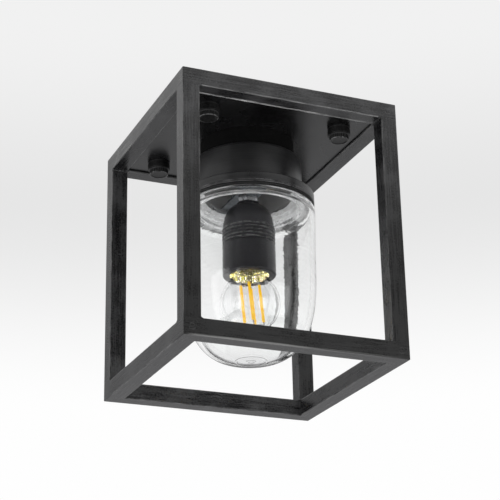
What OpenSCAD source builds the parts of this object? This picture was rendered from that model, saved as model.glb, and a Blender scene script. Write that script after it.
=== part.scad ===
// Porch ceiling lantern: an open square frame with a screw-on glass jar and one lamp.
// Lengths are millimetres. The ceiling is the plane z = 0 and the lantern hangs below it.
// A value whose name ends in _z is a depth below the ceiling.

/* [Frame] */
// Width and depth of the frame over its tubes
frame_side = 170; // [160:1:200]
// Height of the frame, from the ceiling down
frame_h = 200; // [195:1:240]
// Side of the square tube
bar = 12.7; // [10:0.1:14]
// Wall of the square tube
bar_wall = 1.2; // [0.8:0.1:2]
// Outer edge radius of the square tube
bar_edge = 0.5; // [0.3:0.1:2]

/* [Ceiling bracket] */
// Gap between the bracket plate and the frame's tubes
bracket_gap = 11; // [7:0.5:13]
// Thickness of the bracket plate
bracket_t = 2; // [1.5:0.1:3]
// Corner radius of the bracket plate
bracket_corner = 8; // [3:0.5:12]
// Distance between the two slots for the ceiling screws
screw_spacing = 80; // [64:1:96]
// Width of a screw slot
slot_w = 5; // [4:0.5:6]
// Length of a screw slot, end to end
slot_len = 14; // [8:1:18]
// Radius of the bracket's hole for the cable grommet
cable_hole_r = 8; // [6:0.5:9]
// Radius of the hole through the grommet
cable_r = 4.5; // [3:0.25:5]
// Half the distance from the centre to the bracket's earth screw, on both axes
earth_stud_at = 30; // [24:1:36]

/* [Cover plate] */
// Depth of the plate's underside below the ceiling
plate_z = 11; // [10:0.5:14]
// Thickness of the plate
plate_t = 1.5; // [1:0.1:2]
// Height of the plate's turned-up rim
plate_rim = 6; // [4:0.5:8]
// Corner radius of the plate
plate_corner = 3; // [1:0.5:6]

/* [Studs and thumb nuts] */
// Distance from the frame's outer face to a stud
stud_in = 32; // [30:1:34]
// Radius of a stud
stud_r = 2.5; // [2:0.1:3]
// Length of stud below the washer
stud_reach = 7; // [5:0.5:9]
// Wall of the spacer sleeves on the studs
sleeve_wall = 2; // [1:0.25:3]
// Outer radius of the washers
washer_r = 8.25; // [7:0.25:9]
// Thickness of the washers
washer_t = 1; // [0.6:0.1:2]
// Radius of the nut's collar
collar_r = 8.6; // [7.5:0.1:9.5]
// Height of the nut's collar
collar_h = 5; // [3:0.5:6]
// Radius of the nut's knurled grip
grip_r = 7.3; // [6:0.1:7.5]
// Number of knurls round the grip
knurls = 30; // [20:1:40]
// Depth of the knurls
knurl_d = 0.4; // [0.2:0.05:0.6]
// Thickness of the nut's closed end
nut_end = 1.2; // [1:0.1:2]

/* [Canister] */
// Distance from the canister's outside in to the spacer tube above it
neck_in = 5.5; // [4:0.5:14]
// Wall of the spacer tube
neck_wall = 2; // [1:0.25:3]
// Height of the spacer tube
neck_h = 15; // [12:0.5:20]
// Distance from the jar's thread in to the outside of the canister
can_in = 0.75; // [0.25:0.25:2]
// Height of the canister
can_h = 28.5; // [27:0.5:36]
// Wall of the canister
can_wall = 1.5; // [1:0.1:2]
// Radius of the canister's upper edge
can_edge = 2.5; // [2:0.25:4]

/* [Jar ring] */
// Distance from the jar's thread out to the outside of the ring
ring_over = 8.25; // [6.75:0.25:11.5]
// Height of the ring
ring_h = 8; // [7.5:0.25:10]
// Thickness of the ring's top web
ring_web = 2; // [1.5:0.25:3]
// Width of the canister's foot, from its outside to the opening in the web
foot_w = 8.5; // [7.5:0.5:11.5]
// Thickness of the jar's gasket
gasket_t = 1.8; // [1:0.1:3]
// Number of screws between ring and canister
ring_screws = 3; // [3:1:4]

/* [Jar] */
// Distance from the jar's thread out to the outside of the jar
jar_over = 8.75; // [7.75:0.25:10.5]
// Height of the jar below its gasket
jar_h = 121; // [118:1:130]
// Glass thickness
jar_wall = 3.5; // [2.5:0.25:4.5]
// Radius lost between the jar's shoulder and its rounded bottom
jar_taper = 1; // [0:0.25:3]
// Height of the rounded bottom
jar_round_h = 78; // [50:1:90]
// Squareness of the rounded bottom, 2 is an ellipse
jar_power = 3; // [2:0.1:4]
// Radius of the jar's shoulder edge
jar_edge = 4; // [2:0.5:6]
// Radius over the jar's thread
jar_thread_r = 42.25; // [41.5:0.25:43]
// Height of the jar's thread above the neck
jar_thread_d = 1.3; // [0.8:0.1:1.5]
// Pitch of the jar's thread
jar_pitch = 5; // [4.5:0.25:6]

/* [Lamp holder] */
// Distance from the jar ring's top to the top of the holder
holder_drop = 5.5; // [5:0.5:8]
// Distance from the lamp's thread to the outside of the holder
holder_over = 6.95; // [6.2:0.05:8]
// Height of the holder's domed cap
cap_h = 20; // [17:0.5:24]
// Height of the holder's sleeve
sleeve_h = 39; // [37:0.5:44]
// Wall of the cap and the sleeve
holder_wall = 2; // [1.2:0.1:2.5]
// Radius of the holder's mouth
mouth_r = 15; // [14:0.25:16]
// Number of ribs round the sleeve
ribs = 5; // [3:1:6]
// Distance from one rib to the next
rib_pitch = 2.7; // [2:0.1:3]
// Height of the ribs
rib_d = 0.8; // [0.4:0.1:1]
// Outer radius of the threaded rods that carry canister and holder
rod_r = 5; // [4.5:0.1:5.5]
// Radius of the bore through the threaded rods
rod_bore_r = 3.7; // [3.2:0.1:4]
// Width of the strap that carries the holder
strap_w = 18; // [14:1:24]
// Thickness of the strap
strap_t = 1.5; // [1:0.1:2]

/* [Lamp] */
// Radius of the lamp's globe
globe_r = 22.5; // [20:0.25:24]
// Length of the lamp from its contact to the end of the globe
lamp_len = 76; // [74:0.5:80]
// Glass thickness of the globe
globe_wall = 0.8; // [0.6:0.1:1.2]
// Radius over the thread of the lamp's cap
lamp_thread_r = 13.05; // [12.8:0.05:13.2]
// Height of the lamp's thread
lamp_thread_d = 0.9; // [0.6:0.05:1]
// Pitch of the lamp's thread
lamp_pitch = 3.629; // [3.4:0.001:3.8]
// Distance of the filaments from the lamp's axis
filament_at = 7; // [5:0.25:9]
// Length of a filament
filament_len = 32; // [24:0.5:34]
// Radius of a filament
filament_r = 1.1; // [0.6:0.05:1.3]

/* [Hidden] */
$fn = 96;

// Clearances between mating pieces
running_gap = 0.05;
loose_gap = 0.3;
seat_gap = 0.3;
thread_gap = 0.8;
eps = 1;

// Places of the frame's tubes and of the studs
bar_at = (frame_side - bar) / 2;
stud_at = frame_side / 2 - stud_in;
plate_side = frame_side - 2 * bar;
bracket_side = plate_side - 2 * bracket_gap;
slot_at = screw_spacing / 2;

// Radii of canister, spacer tube, ring and jar, which all follow the jar's thread
can_r = jar_thread_r - can_in;
neck_r = can_r - neck_in;
ring_hole_r = can_r - foot_w;
ring_r = jar_thread_r + ring_over;
jar_r = jar_thread_r + jar_over;

// Depths of the faces that stack below the ceiling
plate_top_z = plate_z - plate_t;
washer_z = plate_z + washer_t;
stud_end_z = washer_z + stud_reach;
can_z = plate_z + neck_h;
can_in_z = can_z + can_wall;
ring_z = can_z + can_h;
foot_z = ring_z - can_wall;
strap_z = foot_z - strap_t;
web_z = ring_z + ring_web;
ring_end_z = ring_z + ring_h;
shoulder_z = ring_end_z + gasket_t;
jar_end_z = shoulder_z + jar_h;

// Thumb nuts
nut_gap = 0.8;
bore_h = stud_reach + nut_gap;
nut_h = bore_h + nut_end;
grip_edge = 0.6;

// Screws that hold ring, canister and strap together
screw_r = 1.5;
screw_head_r = 2.6;
screw_head_h = 1.8;
screw_slot_w = 0.7;
screw_slot_d = 0.7;
screw_at = (ring_hole_r + can_r - can_wall) / 2;

// Hexagon nuts on the threaded rods
hex_r = 8;
hex_h = 3;
rod_end = 1;

// Jar neck and its thread
jar_neck_r = jar_thread_r - jar_thread_d;
jar_neck_gap = 0.6;
jar_neck_z = web_z + jar_neck_gap;
jar_neck_wall = 3.2;
ring_bore_r = jar_thread_r + thread_gap;
ridge_root = 2.4;
ridge_crest = 1.3;
ridge_steps = 24;
ridge_bite = 0.2;
ridge_fade = 3;
ridge_least = 0.06;
ridge_rest = 0.2;
jar_ridge_z = shoulder_z - ridge_root / 2 - ridge_rest;
jar_ridge_turns = (jar_ridge_z - jar_neck_z - ridge_root / 2) / jar_pitch;
ring_ridge_z = ring_end_z - ridge_root / 2;
ring_ridge_turns = (ring_ridge_z - web_z - ridge_root / 2) / jar_pitch;
ring_ridge_turn0 = (jar_ridge_z - ring_ridge_z) / jar_pitch - 0.5;
gasket_inset = 0.5;

// Lamp holder
holder_r = lamp_thread_r + holder_over;
holder_z = ring_z + holder_drop;
sleeve_z = holder_z + cap_h;
mouth_z = sleeve_z + sleeve_h;
lip_h = 5;
cap_collar_r = 9;
cap_collar_h = 3;
cap_rod_h = 8;
rib_root_wall = 1.1;
rib_start = 1;
skirt_gap = 0.5;
skirt_step = 0.4;
mouth_edge = 1.5;
insert_top_z = sleeve_z;
insert_t = 6;
insert_z = insert_top_z + insert_t;
sleeve_bore_r = holder_r - rib_d - rib_root_wall;
insert_r = sleeve_bore_r - loose_gap;
contact_t = 0.5;
contact_size = [12, 6];
contact_rivet_r = 1.5;
rivet_head_w = 1;
rivet_head_h = 1;
shell_wall = 0.5;
shell_gap = 0.35;
shell_r = lamp_thread_r + shell_gap;
shell_drop = 3;
shell_z = insert_z + shell_drop;
shell_h = 22;
shell_crest_gap = 0.4;

// Lamp
lamp_z = insert_z + contact_t + seat_gap;
lamp_root_r = lamp_thread_r - lamp_thread_d;
lamp_cap_wall = 0.5;
tip_r = 4.6;
tip_h = 1.2;
tip_rim = 1;
insulator_r = 9.5;
insulator_h = 2.4;
lamp_cap_z = lamp_z + tip_h + insulator_h;
lamp_cap_h = 22.5;
lamp_cap_cone_h = 2;
lamp_cap_end_z = lamp_cap_z + lamp_cap_h;
lamp_neck_r = lamp_root_r - lamp_cap_wall;
neck_in_cap = 7;
lamp_neck_z = lamp_cap_end_z - neck_in_cap;
globe_end_z = lamp_z + lamp_len;
globe_z = globe_end_z - globe_r;
lamp_ridge_root = 1.5;
lamp_ridge_crest = 0.8;
lamp_turns = 4.25;
shell_turns = 4.25;
lamp_ridge_rise = 3.2;
lamp_ridge_z = lamp_cap_end_z - lamp_ridge_rise;
join_share = 0.62;
star_t = 0.8;
filament_turn = -29;
stem_flare_h = 1;
stem_cone_h = 4;
stem_top_r = 3;
stem_end_r = 2;

// Terminal block and leads
block_x = 14;
block_size = [16, 26, 12];
pole_at = 8;
pole_drop = 7.5;
pole_z = can_in_z + pole_drop;
terminal_screw_r = 1.7;
terminal_screw_h = 0.8;
wire_r = 1.1;
wire_hole_r = 1.3;
wire_hole_d = 4;
earth_x = -28;
earth_head_r = 3.5;
earth_head_h = 2.4;
lug_r = 4;
lug_t = 0.8;
lug_screw_r = 2;
tongue_len = 6;
tongue_w = 3;
barrel_x = 4.2;
barrel_len = 4.5;
barrel_r = 1.8;
barrel_rise = 2.2;
barrel_z = can_in_z + barrel_rise;
barrel_end_t = 0.2;
holder_terminal = [5, 5, 4.5];
terminal_floor_t = 1.8;

// Leads, as shares of named places. On the live and the neutral lead they are of block_x, of
// pole_at, and down from the terminal block (0) by the lower rod's top (1) and its end (2) to the
// holder's terminals (3). On the earth lead they are of block_x or earth_x, and from the lug's
// barrel (0) to the terminal block (1).
rod_top_z = strap_z - hex_h - rod_end;
rod_end_z = holder_z + cap_rod_h;
LIVE_SHARES = [
    [1.21, 1, 0], [0.93, 1, 0], [0.71, 0.94, 0.08], [0.5, 0.69, 0.32], [0.29, 0.44, 0.6],
    [0.07, 0.25, 0.84], [0, 0.23, 1.07], [0, 0.23, 1.51], [0, 0.23, 1.9], [0, 0.28, 2.08],
    [0, 0.6, 2.29], [0, 0.94, 2.46], [0, 1, 2.67], [0, 1, 2.83]
];
EARTH_SHARES = [
    [1.21, 1], [0.93, 1], [0.57, 1.38], [0, 1.75], [-0.29, 1.57], [-0.46, 0.81], [-0.61, 0.15],
    [-0.71, 0], [-0.84, 0]
];

// Depth that lies at a share between listed depths
function depth_at(list, t) =
    let (k = min(floor(t), len(list) - 2))
    list[k] + (list[k + 1] - list[k]) * (t - k);

function live_points() = [for (p = LIVE_SHARES)
    [p[0] * block_x, p[1] * pole_at, -depth_at([pole_z, rod_top_z, rod_end_z, sleeve_z], p[2])]];

function earth_points() = [for (p = EARTH_SHARES)
    [p[0] * (p[0] > 0 ? block_x : -earth_x), 0, -barrel_z - (pole_z - barrel_z) * p[1]]];

// Ring of points on part of an ellipse, from angle a to angle b
function arc_points(x, y, rx, ry, a, b, n) =
    [for (i = [0:n]) [x + rx * cos(a + (b - a) * i / n), y + ry * sin(a + (b - a) * i / n)]];

function backwards(list) = [for (i = [len(list) - 1:-1:0]) list[i]];

// Tube between two depths below the ceiling
module tube(outer_r, inner_r, top_z, bottom_z) {
    translate([0, 0, -bottom_z])
        difference() {
            cylinder(h = bottom_z - top_z, r = outer_r);
            translate([0, 0, -eps]) cylinder(h = bottom_z - top_z + 2 * eps, r = inner_r);
        }
}

// Solid disc between two depths below the ceiling
module disc(r, top_z, bottom_z) {
    translate([0, 0, -bottom_z]) cylinder(h = bottom_z - top_z, r = r);
}

// Block between two depths below the ceiling, centred on x and y
module block(size_x, size_y, top_z, bottom_z) {
    translate([-size_x / 2, -size_y / 2, -bottom_z]) cube([size_x, size_y, bottom_z - top_z]);
}

module rounded_square(side, r) {
    square([side - 2 * r, side], center = true);
    square([side, side - 2 * r], center = true);
    for (sx = [-1, 1], sy = [-1, 1]) translate([sx, sy] * (side / 2 - r)) circle(r = r, $fn = 32);
}

module at_studs() {
    for (sx = [-1, 1], sy = [-1, 1]) translate([sx * stud_at, sy * stud_at, 0]) children();
}

module hexagon_nut(top_z) {
    translate([0, 0, -top_z - hex_h])
        difference() {
            cylinder(h = hex_h, r = hex_r, $fn = 6);
            translate([0, 0, -eps]) cylinder(h = hex_h + 2 * eps, r = rod_r + running_gap);
        }
}

// One screw with a round head that rests at head_z and a shank down to end_z
module round_screw(head_z, end_z) {
    difference() {
        union() {
            disc(screw_head_r, head_z - screw_head_h, head_z);
            disc(screw_r, head_z - eps, end_z);
        }
        translate([0, 0, -head_z + screw_head_h])
            cube([2 * screw_head_r, screw_slot_w, 2 * screw_slot_d], center = true);
    }
}

// Helical ridge of a screw thread. It rises anticlockwise and fades out at both ends.
// Inside a bore its corners are moved outwards, so that its flats keep the radii given here.
module thread_ridge(wall_r, crest_r, root_w, crest_w, pitch, turns, start_z, start_turn) {
    n = ceil(turns * ridge_steps);
    out = crest_r > wall_r;
    flat = out ? 1 : 1 / cos(180 / ridge_steps);
    base_r = wall_r * flat + (out ? -ridge_bite : ridge_bite);
    rings = [for (i = [0:n])
        let (fade = max(ridge_least, min(1, i / ridge_fade, (n - i) / ridge_fade)))
        let (a = 360 * (start_turn + turns * i / n))
        let (z = -start_z + pitch * turns * i / n)
        let (r = (wall_r + (crest_r - wall_r) * fade) * flat)
        let (section = [[base_r, -root_w / 2], [r, -crest_w / 2], [r, crest_w / 2], [base_r, root_w / 2]])
        [for (p = out ? section : backwards(section)) [p[0] * cos(a), p[0] * sin(a), z + p[1]]]];
    swept_tube(rings, 4);
}

// Closed skin over a list of rings with the same number of points
module swept_tube(rings, sides) {
    last = (len(rings) - 1) * sides;
    skin = [for (i = [0:len(rings) - 2], j = [0:sides - 1])
        let (a = i * sides + j, b = i * sides + (j + 1) % sides)
        each [[a, b, b + sides], [a, b + sides, a + sides]]];
    start_cap = [for (j = [1:sides - 2]) [0, j + 1, j]];
    end_cap = [for (j = [1:sides - 2]) [last, last + j, last + j + 1]];
    polyhedron(points = [for (ring = rings) each ring], faces = concat(skin, start_cap, end_cap));
}

// Point on a smooth curve through the points, at a number of spans from the first
function curve_at(points, t) =
    let (last = len(points) - 1, k = min(floor(t), last - 1), f = t - k)
    let (p0 = points[max(k - 1, 0)], p1 = points[k], p2 = points[k + 1], p3 = points[min(k + 2, last)])
    p1 + f / 2 * ((p2 - p0) + f * ((2 * p0 - 5 * p1 + 4 * p2 - p3)
        + f * (3 * (p1 - p2) + p3 - p0)));

// Insulated wire along a curve. side is a direction that the curve never takes.
module wire(points, side) {
    sides = 8;
    spans = 3;
    n = (len(points) - 1) * spans;
    path = [for (i = [0:n]) curve_at(points, i / spans)];
    rings = [for (i = [0:n])
        let (d = path[min(i + 1, n)] - path[max(i - 1, 0)])
        let (along = d / norm(d), c = cross(side, along), u = c / norm(c), v = cross(along, u))
        [for (j = [0:sides - 1])
            path[i] + wire_r * (cos(-360 * j / sides) * u + sin(-360 * j / sides) * v)]];
    swept_tube(rings, sides);
}

// Mount plate that is screwed to the ceiling
module ceiling_bracket() {
    color("silver")
        translate([0, 0, -bracket_t])
            difference() {
                linear_extrude(bracket_t) rounded_square(bracket_side, bracket_corner);
                translate([0, 0, -eps]) {
                    cylinder(h = bracket_t + 2 * eps, r = cable_hole_r);
                    for (sx = [-1, 1]) translate([sx * slot_at, 0, 0]) screw_slot();
                    at_studs() cylinder(h = bracket_t + 2 * eps, r = stud_r);
                    translate([earth_stud_at, earth_stud_at, 0])
                        cylinder(h = bracket_t + 2 * eps, r = screw_r);
                }
            }
}

module screw_slot() {
    run = (slot_len - slot_w) / 2;
    for (sx = [-1, 1])
        translate([sx * run, 0, 0]) cylinder(h = bracket_t + 2 * eps, r = slot_w / 2);
    translate([-run, -slot_w / 2, 0]) cube([2 * run, slot_w, bracket_t + 2 * eps]);
}

module bracket_studs() {
    color("silver") at_studs() disc(stud_r, 0, stud_end_z);
}

module stud_sleeves() {
    color("gainsboro")
        at_studs()
            tube(stud_r + running_gap + sleeve_wall, stud_r + running_gap, bracket_t, plate_top_z);
}

// Rubber bush with a flange on each side of the bracket's cable hole
module cable_grommet() {
    flange_t = 1.5;
    flange_w = 2.5;
    inset = 0.2;
    color("dimgray")
        difference() {
            union() {
                disc(cable_hole_r, inset, bracket_t);
                disc(cable_hole_r + flange_w, bracket_t, bracket_t + flange_t);
            }
            disc(cable_r, -eps, bracket_t + flange_t + eps);
        }
}

module bracket_earth_screw() {
    color("goldenrod")
        translate([earth_stud_at, earth_stud_at, 0]) {
            disc(screw_r, 0, bracket_t + eps);
            disc(screw_head_r, bracket_t, bracket_t + screw_head_h);
        }
}

module tube_section() {
    difference() {
        rounded_square(bar, bar_edge);
        square(bar - 2 * bar_wall, center = true);
    }
}

// Tube along one side of the frame, cut at 45 degrees at both ends
module rail(top_z, quarter) {
    half = frame_side / 2;
    color("#2b2b2d")
        rotate([0, 0, 90 * quarter])
            intersection() {
                translate([-half, -bar_at, -top_z - bar / 2])
                    rotate([90, 0, 90]) linear_extrude(frame_side) tube_section();
                translate([0, 0, -top_z - bar - eps])
                    linear_extrude(bar + 2 * eps)
                        intersection() {
                            rounded_square(frame_side, bar_edge);
                            polygon([[-half, -half], [half, -half], [half - bar, bar - half],
                                [bar - half, bar - half]]);
                        }
            }
}

module post(sx, sy) {
    color("#2b2b2d")
        translate([sx * bar_at, sy * bar_at, bar - frame_h])
            linear_extrude(frame_h - 2 * bar) tube_section();
}

// Sheet tray that closes the top of the frame
module cover_plate() {
    color("#232325")
        difference() {
            translate([0, 0, -plate_z]) linear_extrude(plate_rim) rounded_square(plate_side, plate_corner);
            translate([0, 0, -plate_top_z])
                linear_extrude(plate_rim) rounded_square(plate_side - 2 * plate_t, plate_corner);
            at_studs() disc(stud_r + loose_gap, plate_top_z - eps, plate_z + eps);
            disc(rod_r + running_gap, plate_top_z - eps, plate_z + eps);
        }
}

module washer(sx, sy) {
    color("#1c1c1c")
        translate([sx * stud_at, sy * stud_at, 0])
            tube(washer_r, stud_r + 2 * running_gap, plate_z, washer_z);
}

// Blind nut with a collar and a knurled grip that is rounded at its end
module thumb_nut(sx, sy) {
    outline = [for (i = [0:2 * knurls - 1])
        (grip_r - (i % 2) * knurl_d) * [cos(180 * i / knurls), sin(180 * i / knurls)]];
    end_z = -washer_z - nut_h;
    color("#1c1c1c")
        translate([sx * stud_at, sy * stud_at, 0])
            difference() {
                union() {
                    disc(collar_r, washer_z, washer_z + collar_h);
                    intersection() {
                        translate([0, 0, end_z]) linear_extrude(nut_h - eps) polygon(outline);
                        rotate_extrude() polygon(grip_limit(end_z));
                    }
                }
                disc(stud_r + running_gap, washer_z - eps, washer_z + bore_h);
            }
}

// Outline that rounds the end of the grip and stands clear of the knurls above it
function grip_limit(end_z) =
    let (over_r = grip_r + knurl_d, edge = grip_edge + knurl_d)
    concat([[0, end_z + nut_h], [0, end_z]],
        arc_points(over_r - edge, end_z + edge, edge, edge, -90, 0, 5),
        [[over_r, end_z + nut_h]]);

module neck_spacer() {
    color("#1d1d1f") tube(neck_r, neck_r - neck_wall, plate_z, can_z);
}

// Hollow threaded rod from above the plate into the canister
module upper_rod() {
    color("lightgray")
        tube(rod_r, rod_bore_r, plate_top_z - hex_h - rod_end, can_in_z + hex_h + rod_end);
}

module upper_rod_nuts() {
    color("lightgray") {
        hexagon_nut(plate_top_z - hex_h);
        hexagon_nut(can_in_z);
    }
}

// Spun cup with a rounded upper edge and a foot turned inwards
module canister() {
    outer = concat([[0, -can_z]],
        arc_points(can_r - can_edge, -can_z - can_edge, can_edge, can_edge, 90, 0, 6),
        [[can_r, -ring_z], [ring_hole_r, -ring_z]]);
    inner_r = can_r - can_wall;
    inner_edge = can_edge - can_wall;
    inner = concat([[ring_hole_r, -foot_z], [inner_r, -foot_z]],
        arc_points(inner_r - inner_edge, -can_in_z - inner_edge, inner_edge, inner_edge, 0, 90, 4),
        [[0, -can_in_z]]);
    color("#3c3c3e")
        difference() {
            rotate_extrude() polygon(concat(outer, inner));
            disc(rod_r + running_gap, can_z - eps, can_in_z + eps);
            translate([earth_x, 0, 0]) disc(lug_screw_r, can_z - eps, can_in_z + eps);
            ring_screw_places() disc(screw_r, foot_z - eps, ring_z + eps);
            strap_screw_places() disc(screw_r, foot_z - eps, ring_z + eps);
        }
}

module ring_screw_places() {
    for (i = [0:ring_screws - 1])
        rotate([0, 0, 360 * i / ring_screws + (ring_screws == 4 ? 45 : 0)])
            translate([screw_at, 0, 0]) children();
}

module strap_screw_places() {
    for (s = [-1, 1]) translate([0, s * screw_at, 0]) children();
}

module terminal_block() {
    color("ivory")
        difference() {
            translate([block_x, -block_size[1] / 2, -can_in_z - block_size[2]]) cube(block_size);
            for (i = [-1:1])
                translate([block_x - eps, i * pole_at, -pole_z])
                    rotate([0, 90, 0]) cylinder(h = wire_hole_d + eps, r = wire_hole_r, $fn = 24);
        }
}

module terminal_screws() {
    color("goldenrod")
        for (share = [0.25, 0.75], i = [-1:1])
            translate([block_x + share * block_size[0], i * pole_at, -can_in_z - block_size[2]])
                disc(terminal_screw_r, 0, terminal_screw_h);
}

module earth_screw() {
    lug_z = can_in_z + lug_t;
    color("goldenrod")
        translate([earth_x, 0, 0]) {
            disc(lug_screw_r, can_z, lug_z + eps);
            disc(earth_head_r, lug_z, lug_z + earth_head_h);
        }
}

// Ring and crimp barrel on the end of the earth lead
module earth_lug() {
    color("silver")
        difference() {
            union() {
                translate([earth_x, 0, 0]) disc(lug_r, can_in_z, can_in_z + lug_t);
                translate([earth_x, -tongue_w / 2, -can_in_z - lug_t])
                    cube([tongue_len, tongue_w, lug_t]);
                translate([earth_x + barrel_x, 0, -barrel_z])
                    rotate([0, 90, 0]) cylinder(h = barrel_len, r = barrel_r, $fn = 32);
            }
            translate([earth_x, 0, 0]) disc(lug_screw_r, can_z, can_in_z + lug_t + eps);
            translate([earth_x + barrel_x + barrel_end_t, 0, -barrel_z])
                rotate([0, 90, 0]) cylinder(h = barrel_len + eps, r = wire_hole_r, $fn = 32);
        }
}

// Threaded ring that the jar screws into
module jar_ring() {
    color("#39393b") {
        difference() {
            disc(ring_r, ring_z, ring_end_z);
            disc(ring_hole_r, ring_z - eps, ring_end_z + eps);
            disc(ring_bore_r, web_z, ring_end_z + eps);
            ring_screw_places() disc(screw_r, ring_z - eps, web_z + eps);
            strap_screw_places() disc(screw_r, ring_z - eps, web_z + eps);
        }
        thread_ridge(ring_bore_r, jar_neck_r + thread_gap / 2, ridge_root, ridge_crest,
            jar_pitch, ring_ridge_turns, ring_ridge_z, ring_ridge_turn0);
    }
}

module ring_screw_set() {
    color("silver") ring_screw_places() round_screw(foot_z, web_z);
}

// Flat strap across the canister's foot
module holder_strap() {
    color("silver")
        difference() {
            intersection() {
                block(strap_w, 2 * can_r, strap_z, foot_z);
                disc(can_r - can_wall - loose_gap, strap_z - eps, foot_z + eps);
            }
            disc(rod_r + running_gap, strap_z - eps, foot_z + eps);
            strap_screw_places() disc(screw_r, strap_z - eps, foot_z + eps);
        }
}

module strap_screws() {
    color("silver") strap_screw_places() round_screw(strap_z, web_z);
}

// Hollow threaded rod from the strap into the lamp holder
module lower_rod() {
    color("lightgray")
        tube(rod_r, rod_bore_r, strap_z - hex_h - rod_end, holder_z + cap_rod_h);
}

module lower_rod_nuts() {
    color("lightgray") {
        hexagon_nut(strap_z - hex_h);
        hexagon_nut(foot_z);
    }
}

// Domed cap that closes the lamp holder at the top
module holder_cap() {
    edge_r = holder_r - rib_d;
    dome_h = cap_h - cap_collar_h;
    outer = concat([[0, -holder_z], [cap_collar_r, -holder_z]],
        arc_points(cap_collar_r, -sleeve_z, edge_r - cap_collar_r, dome_h, 90, 0, 14));
    inner = concat(
        arc_points(cap_collar_r - holder_wall, -sleeve_z, edge_r - cap_collar_r, dome_h - holder_wall,
            0, 90, 14),
        [[0, -sleeve_z + dome_h - holder_wall]]);
    color("#1b1b1b")
        difference() {
            rotate_extrude() polygon(concat(outer, inner));
            disc(rod_r + running_gap, holder_z - eps, holder_z + cap_rod_h);
        }
}

// Skirt of the lamp holder, with ribs at the top and a lip at the mouth
module holder_sleeve() {
    root_r = holder_r - rib_d;
    rib_points = [for (i = [0:ribs - 1])
        let (z = -sleeve_z - rib_start - i * rib_pitch)
        each [[root_r, z], [holder_r, z - 0.3 * rib_pitch], [holder_r, z - 0.6 * rib_pitch],
            [root_r, z - 0.85 * rib_pitch]]];
    skirt_z = sleeve_z + rib_start + skirt_gap + ribs * rib_pitch;
    outer = concat([[root_r, -sleeve_z]], rib_points,
        [[root_r, -skirt_z + skirt_step], [holder_r, -skirt_z - skirt_step],
            [holder_r, mouth_edge - mouth_z], [holder_r - mouth_edge, -mouth_z]]);
    inner = [[mouth_r, -mouth_z], [mouth_r, lip_h - mouth_z], [sleeve_bore_r, lip_h - mouth_z],
        [sleeve_bore_r, -sleeve_z]];
    color("#1b1b1b") rotate_extrude() polygon(concat(outer, inner));
}

// Insulating body that carries the shell and the contacts
module holder_insert() {
    color("whitesmoke")
        difference() {
            disc(insert_r, insert_top_z, mouth_z - lip_h);
            disc(shell_r + shell_wall, insert_z, mouth_z);
            disc(contact_rivet_r, insert_top_z - eps, insert_z + eps);
        }
}

module holder_terminals() {
    color("goldenrod")
        for (s = [-1, 1])
            translate([0, s * pole_at, 0])
                difference() {
                    block(holder_terminal[0], holder_terminal[1], insert_top_z - holder_terminal[2],
                        insert_top_z);
                    disc(wire_hole_r, 0, insert_top_z - terminal_floor_t);
                }
}

// Threaded metal shell inside the lamp holder
module screw_shell() {
    color("goldenrod") {
        tube(shell_r + shell_wall, shell_r, shell_z, shell_z + shell_h);
        thread_ridge(shell_r, lamp_root_r + shell_crest_gap, lamp_ridge_root, lamp_ridge_crest, lamp_pitch,
            shell_turns, shell_z + shell_h - lamp_pitch, shell_ridge_turn0());
    }
}

// The shell's ridge runs midway between the turns of the lamp's ridge
function shell_ridge_turn0() =
    (lamp_ridge_z - (shell_z + shell_h - lamp_pitch)) / lamp_pitch + 0.5;

module centre_contact() {
    color("goldenrod") {
        block(contact_size[0], contact_size[1], insert_z, insert_z + contact_t);
        disc(contact_rivet_r, insert_top_z, insert_z + contact_t / 2);
        disc(contact_rivet_r + rivet_head_w, insert_top_z - rivet_head_h, insert_top_z);
    }
}

module live_lead() {
    color("saddlebrown") wire(live_points(), [-1, 1, 1]);
}

module neutral_lead() {
    color("steelblue") mirror([0, 1, 0]) wire(live_points(), [-1, 1, 1]);
}

module earth_lead() {
    color("olivedrab") wire(earth_points(), [0, 1, 0]);
}

module jar_gasket() {
    color("#141414") tube(ring_r - gasket_inset, ring_bore_r, ring_end_z, shoulder_z);
}

// Outline of the jar from its shoulder to the middle of its bottom, moved in by inset
function jar_outline(inset) =
    let (r = jar_r - inset, low_r = r - jar_taper, round_z = jar_end_z - jar_round_h)
    let (edge = jar_edge, n = 20)
    concat(
        arc_points(r - edge, -shoulder_z - inset - edge, edge, edge, 90, 0, 6),
        [for (i = [0:n])
            [low_r * pow(cos(90 * i / n), 2 / jar_power),
                -round_z - (jar_round_h - inset) * pow(sin(90 * i / n), 2 / jar_power)]]);

// Glass jar with a threaded neck
module glass_jar() {
    color("lightcyan", 0.4) {
        rotate_extrude()
            polygon(concat(
                [[jar_neck_r - jar_neck_wall, -jar_neck_z], [jar_neck_r, -jar_neck_z],
                    [jar_neck_r, -shoulder_z]],
                jar_outline(0),
                backwards(jar_outline(jar_wall)),
                [[jar_neck_r - jar_neck_wall, -shoulder_z - jar_wall]]));
        thread_ridge(jar_neck_r, jar_thread_r, ridge_root, ridge_crest, jar_pitch,
            jar_ridge_turns, jar_ridge_z, 0);
    }
}

module lamp_contact() {
    color("silver") disc(tip_r, lamp_z, lamp_z + tip_h);
}

module lamp_insulator() {
    color("#101010")
        translate([0, 0, -lamp_cap_z])
            rotate_extrude()
                polygon([[0, 0], [insulator_r, 0], [tip_r + tip_rim, insulator_h], [0, insulator_h]]);
}

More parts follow.
